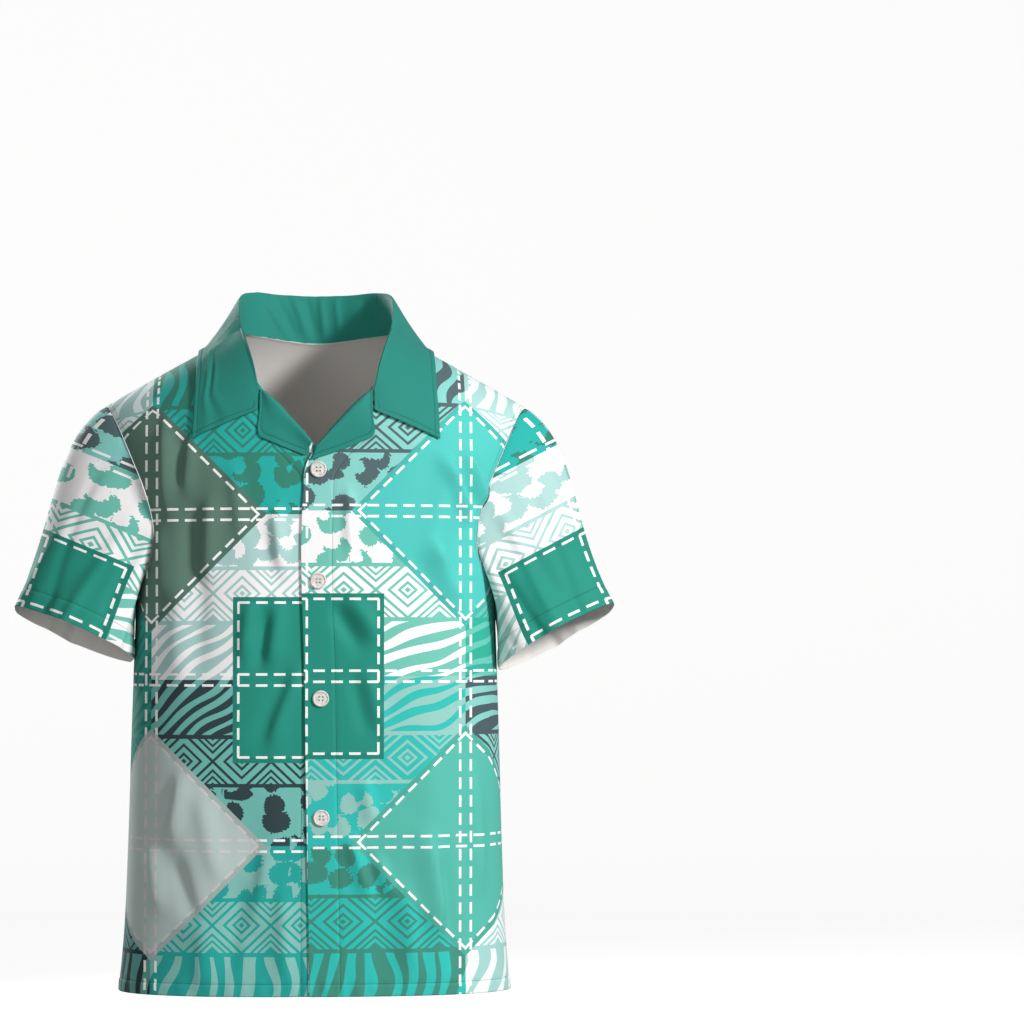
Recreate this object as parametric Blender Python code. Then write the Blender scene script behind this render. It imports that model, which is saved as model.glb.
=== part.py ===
"""Short-sleeved camp-collar shirt, filled out as if worn, with nobody in it.

Metres, +Z up, the front faces -Y and the wearer's left is +X. The origin lies midway between
the two points where neck and shoulder seams meet. Every cloth piece is a wall between an outer
surface and the same surface moved inwards, worked out from ring sections of the body.
"""
from collections import namedtuple

import bmesh
import bpy
import numpy as np
from mathutils import Matrix, Vector

# Driving sizes.
CLOTH = 0.0013            # wall of a body panel or sleeve
COLLAR_CLOTH = 0.0017     # two layers and an interlining
SEAM_GAP = 0.0003
SEAM_INSET = 0.0011       # share of a panel cut back at a seam, about half the gap
STEP = 1e-4               # share of a piece used to read the slope of its surface
MERGE = 1e-5
FINE_STEPS = 160          # points used to measure a line
HEM_Z = -0.718
NECK_SIDE_X = 0.081       # neck point of the shoulder seam
ARMPIT_Z = -0.284
SHOULDER_SLOPE = 0.585
NECK_ROUND = 0.050        # how softly the ridge crosses the neck
SQUARENESS = 2.5          # exponent of the ring sections: 2 is an ellipse
SETTLE_ROUNDS = 9         # rounds in which a point's height and its ring agree
FOLD_FADE = (0.99, 0.86)  # folds end towards the side seams, in shares of the half width
ROLL_RADIUS = {-1: 0.125, 1: 0.110}   # rounding of front and back over the shoulder
FRONT, BACK = -1, 1
WEARER_RIGHT, WEARER_LEFT = -1, 1
UNDERLAP = 0.0021         # how deep the right front lies below the left one
OPENING_RAMP = (0.046, 0.018)

# Rings of the body from the hem up.
Ring = namedtuple("Ring", "z half_width front back")
RINGS = [
    Ring(-0.730, 0.2145, 0.1120, 0.1180),
    Ring(-0.654, 0.2080, 0.1110, 0.1150),
    Ring(-0.558, 0.2040, 0.1120, 0.1130),
    Ring(-0.448, 0.2010, 0.1145, 0.1140),
    Ring(-0.365, 0.1985, 0.1165, 0.1165),
    Ring(-0.284, 0.1965, 0.1185, 0.1200),
    Ring(-0.232, 0.1975, 0.1185, 0.1215),
    Ring(-0.175, 0.2080, 0.1170, 0.1210),
    Ring(-0.120, 0.2270, 0.1140, 0.1180),
    Ring(-0.070, 0.2470, 0.1100, 0.1130),
    Ring(0.000, 0.2700, 0.1050, 0.1070),
    Ring(0.060, 0.2850, 0.1000, 0.1020),
]

# Edges of the fronts from the neck point down: the neck seam, the roll of the lapel and the
# opening. x is measured towards the panel's own side.
Edge = namedtuple("Edge", "x z")
NECK_EDGE = [Edge(0.0810, 0.0), Edge(0.0795, -0.0210), Edge(0.0715, -0.0440), Edge(0.0600, -0.0660)]
ROLL_EDGE = [Edge(0.0440, -0.0840), Edge(0.0225, -0.1070), Edge(-0.0015, -0.1335)]
OPENING_EDGE = {
    1: [Edge(-0.0115, -0.1520), Edge(-0.0140, -0.1800), Edge(-0.0125, -0.3900),
        Edge(-0.0065, HEM_Z)],
    -1: [Edge(-0.0140, -0.1490), Edge(-0.0190, -0.1760), Edge(-0.0190, -0.3900),
         Edge(-0.0190, HEM_Z)],
}

# Armholes from the shoulder seam to the armpit: the angle round the body in degrees, and the
# way down the cloth from the ridge of the shoulder.
Armhole = namedtuple("Armhole", "angle way")
FRONT_ARMHOLE = [
    Armhole(78.8, 0.000), Armhole(75.3, 0.094), Armhole(72.7, 0.152), Armhole(70.4, 0.190),
    Armhole(68.4, 0.228), Armhole(68.2, 0.256), Armhole(72.0, 0.280), Armhole(79.5, 0.291),
    Armhole(90.0, 0.2945),
]
BACK_ARMHOLE = [
    Armhole(78.6, 0.000), Armhole(75.9, 0.086), Armhole(73.8, 0.140), Armhole(71.6, 0.180),
    Armhole(70.2, 0.216), Armhole(70.6, 0.244), Armhole(74.0, 0.268), Armhole(80.6, 0.281),
    Armhole(90.0, 0.2860),
]
BACK_NECK_SHARE = 6 / 14   # share of half the back's top edge that is neck seam
BACK_NECK_DEEP = 0.078    # way down the back surface from the ridge to the middle of the neck
BACK_NECK_ROUND = (0.9, 0.8)   # exponents of the neck's curve: across and down

# Folds: soft ridges (rise above 0) and troughs along a line on a body panel.
Fold = namedtuple("Fold", "face x0 z0 x1 z1 width rise")
FOLDS = [
    Fold(FRONT, -0.150, -0.225, -0.144, -0.400, 0.013, 0.0044),
    Fold(FRONT, -0.124, -0.170, -0.128, -0.380, 0.011, -0.0040),
    Fold(FRONT, -0.062, -0.215, -0.040, -0.290, 0.012, -0.0030),
    Fold(FRONT, -0.030, -0.365, -0.062, -0.450, 0.011, -0.0036),
    Fold(FRONT, -0.135, -0.470, -0.120, -0.700, 0.022, 0.0045),
    Fold(FRONT, -0.070, -0.520, -0.060, -0.712, 0.018, -0.0035),
    Fold(FRONT, 0.150, -0.130, 0.115, -0.260, 0.013, 0.0042),
    Fold(FRONT, 0.163, -0.190, 0.140, -0.300, 0.010, -0.0034),
    Fold(FRONT, 0.040, -0.370, 0.058, -0.440, 0.010, -0.0034),
    Fold(FRONT, 0.062, -0.300, 0.040, -0.350, 0.011, 0.0028),
    Fold(FRONT, 0.120, -0.430, 0.130, -0.700, 0.020, 0.0045),
    Fold(FRONT, 0.070, -0.540, 0.078, -0.712, 0.016, -0.0034),
    Fold(BACK, -0.020, -0.110, -0.024, -0.560, 0.014, -0.0050),
    Fold(BACK, 0.006, -0.140, 0.004, -0.600, 0.012, 0.0040),
    Fold(BACK, -0.110, -0.200, -0.124, -0.690, 0.018, 0.0046),
    Fold(BACK, -0.070, -0.330, -0.080, -0.705, 0.015, -0.0036),
    Fold(BACK, 0.080, -0.180, 0.094, -0.520, 0.016, -0.0040),
    Fold(BACK, 0.128, -0.260, 0.138, -0.690, 0.019, 0.0050),
    Fold(BACK, 0.060, -0.470, 0.066, -0.710, 0.016, 0.0036),
]

# Sleeves: the cuff's centre, its outer end and its inner end seen from the front.
Cuff = namedtuple("Cuff", "outer_x outer_z inner_x inner_z")
CUFFS = {
    WEARER_RIGHT: Cuff(-0.3280, -0.3050, -0.1965, -0.3600),
    WEARER_LEFT: Cuff(0.3280, -0.3010, 0.2000, -0.3690),
}
CUFF_HALF_DEPTH = 0.0575
CUFF_LIFT = 0.0115        # the front of the cuff is higher than its middle, the back lower
CUFF_INNER_Y = -0.030     # the inner end of the cuff lies in front of the body's side
SLEEVE_CLEAR = 0.0019     # how far the sleeve stays from the body's side
SLEEVE_SEAM_CLEAR = 0.0005     # the same at the seam
SLEEVE_LEAVE = (0.85, 0.10)    # the top of the sleeve leaves the shoulder out and up
SLEEVE_CORE = ((0.205, -0.185), (0.262, -0.330))   # x and z of the sleeve's core, seam and cuff
UNDER_ARM = (0.40, 0.55)       # turns between which a sleeve starts to keep off the side
SIDE_REACH = 0.12              # usual distance of the side from the body's middle line

SleeveFold = namedtuple("SleeveFold", "turn0 turn1 width rise")
SLEEVE_FOLDS = {
    WEARER_RIGHT: [SleeveFold(-0.62, -0.30, 0.060, -0.0036), SleeveFold(-0.40, -0.14, 0.070, 0.0030),
                   SleeveFold(0.60, 0.34, 0.070, -0.0040), SleeveFold(0.36, 0.12, 0.070, 0.0030)],
    WEARER_LEFT: [SleeveFold(-0.60, -0.36, 0.060, -0.0036), SleeveFold(-0.34, -0.18, 0.070, 0.0030),
                  SleeveFold(0.62, 0.38, 0.070, -0.0040), SleeveFold(0.30, 0.16, 0.070, 0.0030)],
}

# The collar: points across it at stations from the middle of the back to the notch.
Station = namedtuple("Station", "share roll_x roll_y roll_z edge_x edge_y edge_z")
COLLAR = [
    Station(0.00, 0.0000, 0.0800, 0.0470, 0.0000, 0.0960, -0.0010),
    Station(0.15, 0.0370, 0.0750, 0.0480, 0.0470, 0.0935, -0.0025),
    Station(0.30, 0.0680, 0.0560, 0.0490, 0.0850, 0.0780, -0.0060),
    Station(0.42, 0.0830, 0.0240, 0.0420, 0.1120, 0.0400, -0.0130),
    Station(0.52, 0.0840, -0.0080, 0.0220, 0.1260, 0.0020, -0.0220),
    Station(0.66, 0.0800, -0.0400, -0.0040, 0.1290, -0.0420, -0.0420),
    Station(0.80, 0.0735, -0.0680, -0.0270, 0.1300, -0.0720, -0.0720),
    Station(0.92, 0.0660, -0.0900, -0.0510, 0.1320, -0.0900, -0.1020),
    Station(1.00, 0.0622, -0.1010, -0.0670, 0.1330, -0.1000, -0.1230),
]
NOTCH = (0.0632, -0.0950)         # x and z where the collar leaves the lapel
ROLL_SIZE = 0.0042                # half the thickness of the roll at the top of the collar
COLLAR_SEAT = 0.0013              # the stand's edge lies this far off the panels
COLLAR_END_LIFT = 0.0044
COLLAR_KNOTS = (0.0, 0.22, 0.36, 0.46, 0.74, 1.0)  # across: seam, stand, roll, turn, leaf, edge
COLLAR_FRONT = (0.35, 0.60)       # stations between which the stand tips over to the front
COLLAR_END = (0.88, 1.0)          # stations over which the roll flattens to the notch
LEAF_RISE = 0.004                 # how far the middle of the leaf bows up
# Least distance of the collar's outer surface from the panels, across the collar.
Lift = namedtuple("Lift", "across lift")
COLLAR_LIFT = [Lift(0.0, COLLAR_SEAT), Lift(0.36, 0.0066), Lift(0.50, 0.0062), Lift(0.74, 0.0046),
               Lift(1.0, 0.0037)]

# Lapels: the turned edge and the outer edge, from the collar seam down to the first button.
Lapel = namedtuple("Lapel", "share roll_x roll_z edge_x edge_z")
LAPEL = [
    Lapel(0.00, 0.0585, -0.0700, 0.0590, -0.0716),
    Lapel(0.16, 0.0500, -0.0780, 0.0596, -0.0960),
    Lapel(0.34, 0.0400, -0.0890, 0.0602, -0.1195),
    Lapel(0.50, 0.0300, -0.0995, 0.0460, -0.1270),
    Lapel(0.78, 0.0135, -0.1170, 0.0230, -0.1368),
]
LAPEL_END = {
    WEARER_RIGHT: Lapel(1.00, 0.0045, -0.1275, 0.0125, -0.1408),
    WEARER_LEFT: Lapel(1.00, 0.0010, -0.1310, -0.0050, -0.1462),
}
LAPEL_CLEAR = 0.0024
LAPEL_ROLL = 0.0030       # how much higher the turned edge stands
LAPEL_ROLL_WIDTH = 0.35   # share of the lapel that the turn takes

# Buttons: heights of their centres, and one button's turned profile.
Button = namedtuple("Button", "x z")
BUTTONS = [
    Button(0.0024, -0.1565),
    Button(0.0024, -0.2755),
    Button(0.0054, -0.4010),
    Button(0.0062, -0.5280),
]
BUTTON_RADIUS = 0.0088
BUTTON_THICK = 0.0027
BUTTON_LIFT = 0.0003      # thread shank, beyond the seam gap
BUTTON_RIM = 0.0014       # width of the raised rim
BUTTON_DISH = 0.0008      # depth of the dish inside the rim
BUTTON_HOLE = 0.0009      # radius of a thread hole
BUTTON_HOLE_PITCH = 0.0036
BUTTON_SIDES = 24
BUTTON_HOLE_SIDES = 8

# Cells of each piece: across, down.
ARMHOLE_CELLS = 10        # cells along half an armhole, the same on the panel and the sleeve
CELLS = {"back": (28, 24), "front": (11, 26), "sleeve": (2 * ARMHOLE_CELLS, 9),
         "collar": (40, 10), "lapel": (3, 10)}
ARMHOLE_SHARE = {FRONT: ARMHOLE_CELLS / CELLS["front"][1], BACK: ARMHOLE_CELLS / CELLS["back"][1]}

PRINT_GREEN = (0.10, 0.42, 0.37)
PLAIN_GREEN = (0.02, 0.19, 0.16)
IVORY = (0.75, 0.70, 0.64)


def curve(keys, values, at):
    """Smooth curve through values at keys."""
    slopes = np.gradient(values, keys)
    at = np.clip(at, keys[0], keys[-1])
    low = np.clip(np.searchsorted(keys, at) - 1, 0, len(keys) - 2)
    span = keys[low + 1] - keys[low]
    t = (at - keys[low]) / span
    rise = t * t * (3 - 2 * t)
    return (values[low] * (1 - rise) + values[low + 1] * rise
            + span * (slopes[low] * t * (1 - t) ** 2 - slopes[low + 1] * t * t * (1 - t)))


def read(table, at, column):
    """Smooth value of a named column at a place along the table's first column."""
    keys = np.array([row[0] for row in table])
    return curve(keys, np.array([getattr(row, column) for row in table]), at)


def ease(value, start, end):
    """0 before start, 1 after end, smooth between."""
    t = np.clip((value - start) / (end - start), 0, 1)
    return t * t * (3 - 2 * t)


def unit(vectors):
    return vectors / np.linalg.norm(vectors, axis=-1, keepdims=True)


def ridge(x):
    """Height of the shoulder ridge, which is also the line of the shoulder seams."""
    return SHOULDER_SLOPE * (np.hypot(NECK_SIDE_X, NECK_ROUND) - np.hypot(x, NECK_ROUND))


def fall(way, radius):
    """Height lost after a way down the cloth from the ridge: a quarter circle, then straight."""
    turn = np.minimum(way / radius, np.pi / 2)
    return radius * (1 - np.cos(turn)) + np.maximum(way - radius * np.pi / 2, 0)


def way_down(height, radius):
    turn = np.arccos(np.clip(1 - height / radius, 0, 1))
    return radius * turn + np.maximum(height - radius, 0)


def side_depth(face):
    return "front" if face == FRONT else "back"


def fold_rise(face, x, z):
    """How far the folds move the cloth outwards at a place on the front or back."""
    rise = np.zeros(np.broadcast(x, z).shape)
    for fold in FOLDS:
        if fold.face != face:
            continue
        along_x, along_z = fold.x1 - fold.x0, fold.z1 - fold.z0
        length = np.hypot(along_x, along_z)
        along = ((x - fold.x0) * along_x + (z - fold.z0) * along_z) / length ** 2
        across = ((x - fold.x0) * along_z - (z - fold.z0) * along_x) / length
        taper = ease(along, -0.12, 0.30) * (1 - ease(along, 0.70, 1.12))
        rise = rise + fold.rise * taper * np.exp(-(across / fold.width) ** 2)
    return rise


def body_point(face, angle, way, lift=0.0):
    """Point of the body's outer surface.

    angle runs from 0 at the middle of the front or back to a quarter turn at the side,
    negative on the wearer's right, and way is the length of cloth down from the ridge.
    """
    x = np.zeros(np.broadcast(angle, way).shape)
    radius = ROLL_RADIUS[face]
    for _ in range(SETTLE_ROUNDS):
        z = ridge(x) - fall(way, radius)
        wide = read(RINGS, z, "half_width")
        deep = read(RINGS, z, side_depth(face))
        reach = ((np.abs(np.sin(angle)) / wide) ** SQUARENESS
                 + (np.abs(np.cos(angle)) / deep) ** SQUARENESS) ** (-1 / SQUARENESS)
        x = reach * np.sin(angle)
    near_side = ease(np.abs(x) / wide, *FOLD_FADE)
    reach = reach + fold_rise(face, x, z) * near_side + lift
    swell = np.sin(np.minimum(way / radius, np.pi / 2))
    return np.stack([reach * np.sin(angle), face * reach * np.cos(angle) * swell, z], axis=-1)


def place_of(face, x, z):
    """Angle and way of the surface point at x and z."""
    wide = read(RINGS, z, "half_width")
    deep = read(RINGS, z, side_depth(face))
    left = np.clip(1 - (np.abs(x) / wide) ** SQUARENESS, 0, 1)
    angle = np.arctan2(x, deep * left ** (1 / SQUARENESS))
    return angle, way_down(np.maximum(ridge(x) - z, 0), ROLL_RADIUS[face])


def clear_body(points, margin):
    """Moves points out until they are at least margin away from the body's surface."""
    x, y, z = points[..., 0], points[..., 1], points[..., 2]
    front = y < 0
    radius = np.where(front, ROLL_RADIUS[FRONT], ROLL_RADIUS[BACK])
    wide = read(RINGS, z, "half_width")
    deep = np.where(front, read(RINGS, z, "front"), read(RINGS, z, "back"))
    left = np.clip(1 - (np.abs(x) / wide) ** SQUARENESS, 0.02, 1)
    half = deep * left ** (1 / SQUARENESS)
    low = np.maximum(radius - (ridge(x) - z), 0)
    size = np.sqrt((y / half) ** 2 + (low / radius) ** 2)
    grow = np.maximum((1 + margin / np.minimum(half, radius)) / np.maximum(size, 0.05), 1)
    moved = points.copy()
    moved[..., 1] = y * grow
    moved[..., 2] = z + low * (grow - 1)
    return moved


def lengths_along(face, angles, ways):
    """Length of cloth along a line of places, from its start."""
    points = body_point(face, angles, ways)
    steps = np.linalg.norm(np.diff(points, axis=0), axis=1)
    return np.concatenate([[0.0], np.cumsum(steps)])


def line_place(face, angles, ways, share):
    """Place at a share of the length of the smooth line through some places."""
    fine = np.linspace(0, 1, FINE_STEPS)
    knots = lengths_along(face, angles, ways)
    knots = knots / knots[-1]
    fine_angles, fine_ways = curve(knots, angles, fine), curve(knots, ways, fine)
    true = lengths_along(face, fine_angles, fine_ways)
    at = np.interp(share, true / true[-1], fine)
    return curve(knots, angles, at), curve(knots, ways, at)


def front_edge_place(share, hand, edge):
    places = [place_of(FRONT, hand * row.x, row.z) for row in edge]
    return line_place(FRONT, np.array([place[0] for place in places]),
                      np.array([place[1] for place in places]), share)


def armhole_place(face, share, hand):
    """The armhole from the shoulder seam (0) to the armpit (1)."""
    table = FRONT_ARMHOLE if face == FRONT else BACK_ARMHOLE
    armpit = way_down(ridge(read(RINGS, ARMPIT_Z, "half_width")) - ARMPIT_Z, ROLL_RADIUS[face])
    scale = armpit / table[-1].way
    return line_place(face, hand * np.radians([row.angle for row in table]),
                      np.array([row.way for row in table]) * scale, share)


def side_place(face, share, hand):
    """The armhole, then the side seam from the armpit down to the hem."""
    angle, way = armhole_place(face, np.clip(share / ARMHOLE_SHARE[face], 0, 1), hand)
    down = np.clip((share - ARMHOLE_SHARE[face]) / (1 - ARMHOLE_SHARE[face]), 0, 1)
    z = ARMPIT_Z + (HEM_Z - ARMPIT_Z) * down
    side_way = way_down(ridge(read(RINGS, z, "half_width")) - z, ROLL_RADIUS[face])
    under_arm = share >= ARMHOLE_SHARE[face]
    return np.where(under_arm, hand * np.pi / 2, angle), np.where(under_arm, side_way, way)


def back_top_place(across, hand):
    """The back neck seam from the middle to the neck point, then the shoulder seam."""
    neck, _ = place_of(BACK, hand * NECK_SIDE_X, 0.0)
    shoulder = hand * np.radians(BACK_ARMHOLE[0].angle)
    turn = np.clip(across / BACK_NECK_SHARE, 0, 1) * np.pi / 2
    along = np.clip((across - BACK_NECK_SHARE) / (1 - BACK_NECK_SHARE), 0, 1)
    angle = neck * np.sin(turn) ** BACK_NECK_ROUND[0] + (shoulder - neck) * along
    return angle, BACK_NECK_DEEP * np.maximum(np.cos(turn), 0) ** BACK_NECK_ROUND[1]


def back_middle_place(share):
    bottom = way_down(ridge(0.0) - HEM_Z, ROLL_RADIUS[BACK])
    return 0 * share, BACK_NECK_DEEP + (bottom - BACK_NECK_DEEP) * share


def hem_place(face, angle):
    """Place on the level hem at an angle."""
    wide = read(RINGS, HEM_Z, "half_width")
    deep = read(RINGS, HEM_Z, side_depth(face))
    reach = ((np.abs(np.sin(angle)) / wide) ** SQUARENESS
             + (np.abs(np.cos(angle)) / deep) ** SQUARENESS) ** (-1 / SQUARENESS)
    return angle, way_down(ridge(reach * np.sin(angle)) - HEM_Z, ROLL_RADIUS[face])


def panel_place(face, top, middle, side, u, v):
    """Place on a panel spanned between its four edges; u runs to the side and v to the hem."""
    start, end = middle(1.0)[0], side(1.0)[0]
    edges = {"top": top(u), "middle": middle(v), "side": side(v),
             "hem": hem_place(face, start * (1 - u) + end * u)}
    corners = [middle(0.0), side(0.0), middle(1.0), side(1.0)]
    place = []
    for k in (0, 1):
        flat = ((1 - u) * (1 - v) * corners[0][k] + u * (1 - v) * corners[1][k]
                + (1 - u) * v * corners[2][k] + u * v * corners[3][k])
        place.append((1 - u) * edges["middle"][k] + u * edges["side"][k]
                     + (1 - v) * edges["top"][k] + v * edges["hem"][k] - flat)
    return place


def underlap(point, hand):
    """The right front sinks behind the left one where they overlap."""
    if hand == WEARER_RIGHT:
        point[..., 1] += UNDERLAP * ease(-point[..., 0], *OPENING_RAMP)
    return point


def front_point(hand, u, v):
    edge = NECK_EDGE + ROLL_EDGE + OPENING_EDGE[hand]
    neck, _ = place_of(FRONT, hand * NECK_SIDE_X, 0.0)
    shoulder = hand * np.radians(FRONT_ARMHOLE[0].angle)
    angle, way = panel_place(
        FRONT, lambda across: (neck + (shoulder - neck) * across, 0 * across),
        lambda share: front_edge_place(share, hand, edge),
        lambda share: side_place(FRONT, share, hand), u, v)
    return underlap(body_point(FRONT, angle, way + SEAM_GAP / 2), hand)


def back_point(u, v):
    """u runs from -1 at the wearer's right side over the middle to 1 at the left side."""
    hand = np.where(u < 0, WEARER_RIGHT, WEARER_LEFT)
    angle, way = panel_place(BACK, lambda across: back_top_place(across, 1), back_middle_place,
                             lambda share: side_place(BACK, share, 1), np.abs(u), v)
    return body_point(BACK, hand * angle, way + SEAM_GAP / 2)


def armhole_point(hand, turn):
    """Closed armhole: turn is 0 at the shoulder seam and 1 or -1 in the armpit, front below 0."""
    front = body_point(FRONT, *armhole_place(FRONT, np.abs(turn), hand))
    back = body_point(BACK, *armhole_place(BACK, np.abs(turn), hand))
    return np.where((turn < 0)[..., None], front, back)


def body_out(points):
    """Direction straight out of the body's side at some points."""
    x, y, z = points[..., 0], points[..., 1], points[..., 2]
    wide = read(RINGS, z, "half_width")
    deep = np.where(y < 0, read(RINGS, z, "front"), read(RINGS, z, "back"))
    power = SQUARENESS - 1
    return unit(np.stack([np.sign(x) * np.abs(x / wide) ** power / wide,
                          np.sign(y) * np.abs(y / deep) ** power / deep, 0 * z], axis=-1))


def cuff_point(hand, turn):
    """The cuff is an oval whose front edge is lifted; turn runs as on the armhole."""
    cuff = CUFFS[hand]
    outer = np.array([cuff.outer_x, 0.0, cuff.outer_z])
    inner = np.array([cuff.inner_x, CUFF_INNER_Y, cuff.inner_z])
    centre, half = (outer + inner) / 2, (outer - inner) / 2
    across, deep = np.cos(np.pi * turn)[..., None], np.sin(np.pi * turn)[..., None]
    return centre + half * across + deep * np.array([0, CUFF_HALF_DEPTH, -CUFF_LIFT])


def sleeve_point(hand, turn, down):
    """The sleeve runs from the armhole to the cuff on smooth curves; down is 0 to 1."""
    start, end = armhole_point(hand, turn), cuff_point(hand, turn)
    cuff = CUFFS[hand]
    width = np.array([cuff.outer_x - cuff.inner_x, 0, cuff.outer_z - cuff.inner_z])
    axis = unit(np.array([hand * abs(width[2]), 0, -abs(width[0])]))
    straight = end - start
    length = np.linalg.norm(straight, axis=-1, keepdims=True)
    top = (0.5 + 0.5 * np.cos(np.pi * turn))[..., None]
    leave = unit(straight / length + top ** 2
                 * np.array([hand * SLEEVE_LEAVE[0], 0, SLEEVE_LEAVE[1]])) * length
    arrive = axis * length * (0.35 + 0.65 * top)
    under = ease(np.abs(turn), 0.35, 0.70)[..., None]
    start = start + unit(leave) * SEAM_GAP + body_out(start) * SLEEVE_SEAM_CLEAR * under
    d = down[..., None]
    rise = d * d * (3 - 2 * d)
    point = start * (1 - rise) + end * rise + leave * d * (1 - d) ** 2 - arrive * d * d * (1 - d)
    core = [np.array([hand * x, 0, z]) for x, z in SLEEVE_CORE]
    out = unit(point - core[0] * (1 - d) - core[1] * d)
    for fold in SLEEVE_FOLDS[hand]:
        across = turn - (fold.turn0 * (1 - down) + fold.turn1 * down)
        point = point + out * (fold.rise * np.exp(-(across / fold.width) ** 2)
                               * ease(down, 0.02, 0.35))[..., None]
    wide = read(RINGS, point[..., 2], "half_width")
    deep = np.where(point[..., 1] < 0, read(RINGS, point[..., 2], "front"),
                    read(RINGS, point[..., 2], "back"))
    size = ((np.abs(point[..., 0]) / wide) ** SQUARENESS
            + (np.abs(point[..., 1]) / deep) ** SQUARENESS) ** (1 / SQUARENESS)
    margin = SLEEVE_SEAM_CLEAR + (SLEEVE_CLEAR - SLEEVE_SEAM_CLEAR) * ease(down, 0.0, 0.25)
    inward = ease(np.abs(turn), *UNDER_ARM)
    push = np.maximum((1 + margin / SIDE_REACH) / size - 1, 0) * inward
    point[..., 0] *= 1 + push
    point[..., 1] *= 1 + push
    return point


def neck_line(share):
    """The neck seam on the wearer's left, from the middle of the back (0) to the notch (1).

    Gives its points and the direction straight off the cloth there.
    """
    back_angle, back_way = back_top_place(BACK_NECK_SHARE * np.clip(share / 0.5, 0, 1), 1)
    front_angle, front_way = front_edge_place(np.clip(share / 0.5 - 1, 0, 1), 1, NECK_EDGE)
    behind = (share < 0.5)[..., None]
    point = np.where(behind, body_point(BACK, back_angle, back_way),
                     body_point(FRONT, front_angle, front_way))
    tilt = np.where(share < 0.5, back_way / ROLL_RADIUS[BACK], -front_way / ROLL_RADIUS[FRONT])
    return point, np.stack([0 * share, np.sin(tilt), np.cos(tilt)], axis=-1)


def collar_point(share, across):
    """share runs from -1 (right notch) over the back of the neck to 1 (left notch)."""
    hand = np.where(share < 0, WEARER_RIGHT, WEARER_LEFT)
    s = np.abs(share)
    neck, off = neck_line(s)
    roll, edge = (np.stack([read(COLLAR, s, name + axis) for axis in "xyz"], axis=-1)
                  for name in ("roll_", "edge_"))
    front = ease(s, *COLLAR_FRONT)[..., None]
    up = unit(np.array([0, 0, 1.0]) * (1 - front) + off * front)
    out = edge - roll
    out = unit(out - (out * up).sum(-1, keepdims=True) * up)
    neck = neck + off * COLLAR_SEAT
    stand = np.linalg.norm(roll - neck, axis=-1, keepdims=True)
    size = ROLL_SIZE * ease(stand, 0.0, 0.03)
    end = ease(s, *COLLAR_END)[..., None]
    notch = np.stack([0 * s + NOTCH[0], edge[..., 1], 0 * s + NOTCH[1]], axis=-1)
    middle = (roll * 0.5 + edge * 0.5 + up * LEAF_RISE) * (1 - end) + notch * end
    turned = roll * 0.94 + edge * 0.06 + out * size * 0.9 - up * size * 0.5
    turned = turned * (1 - end) + (roll * 0.7 + notch * 0.3) * end
    knots = [neck, neck * 0.35 + roll * 0.65 - out * size * 0.4, roll, turned, middle, edge]
    point = np.zeros_like(neck)
    last = len(knots) - 2
    for k, (low, high) in enumerate(zip(COLLAR_KNOTS, COLLAR_KNOTS[1:])):
        before, after = max(k - 1, 0), min(k + 2, last + 1)
        inside = ((across >= low) | (k == 0)) & ((across < high) | (k == last))
        t = np.clip((across - low) / (high - low), 0, 1)[..., None]
        bend = (high - low) * (1 - 0.9 * end)
        slope_low = (knots[k + 1] - knots[before]) / (high - COLLAR_KNOTS[before]) * bend
        slope_high = (knots[after] - knots[k]) / (COLLAR_KNOTS[after] - low) * bend
        rise = t * t * (3 - 2 * t)
        piece = (knots[k] * (1 - rise) + knots[k + 1] * rise
                 + slope_low * t * (1 - t) ** 2 - slope_high * t * t * (1 - t))
        point = np.where(inside[..., None], piece, point)
    flatter = (COLLAR_LIFT[1].lift - COLLAR_END_LIFT) * end[..., 0]
    rolled = ease(across, 0.0, 0.3) * (1 - ease(across, 0.5, 0.8))
    point = clear_body(point, read(COLLAR_LIFT, across, "lift") - flatter * rolled)
    point[..., 0] *= hand
    return point


def lapel_point(hand, down, across):
    table = LAPEL + [LAPEL_END[hand]]
    x = read(table, down, "roll_x") * (1 - across) + read(table, down, "edge_x") * across
    z = read(table, down, "roll_z") * (1 - across) + read(table, down, "edge_z") * across
    lift = LAPEL_CLEAR + LAPEL_ROLL * np.exp(-(across / LAPEL_ROLL_WIDTH) ** 2) * ease(down, 0.0, 0.2)
    angle, way = place_of(FRONT, hand * x, z)
    return underlap(body_point(FRONT, angle, way, lift), hand)


def material(name, colour, roughness):
    made = bpy.data.materials.new(name)
    made.use_nodes = True
    shader = made.node_tree.nodes["Principled BSDF"]
    shader.inputs["Base Color"].default_value = (*colour, 1)
    shader.inputs["Roughness"].default_value = roughness
    shader.inputs["Metallic"].default_value = 0
    return made


def add_object(name, mesh, finish):
    """Turns a closed bmesh into an object of its own."""
    bmesh.ops.recalc_face_normals(mesh, faces=mesh.faces)
    data = bpy.data.meshes.new(name)
    mesh.to_mesh(data)
    mesh.free()
    data.shade_smooth()
    data.set_sharp_from_angle(angle=0.9)
    made = bpy.data.objects.new(name, data)
    bpy.context.collection.objects.link(made)
    data.materials.append(finish)
    return made


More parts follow.
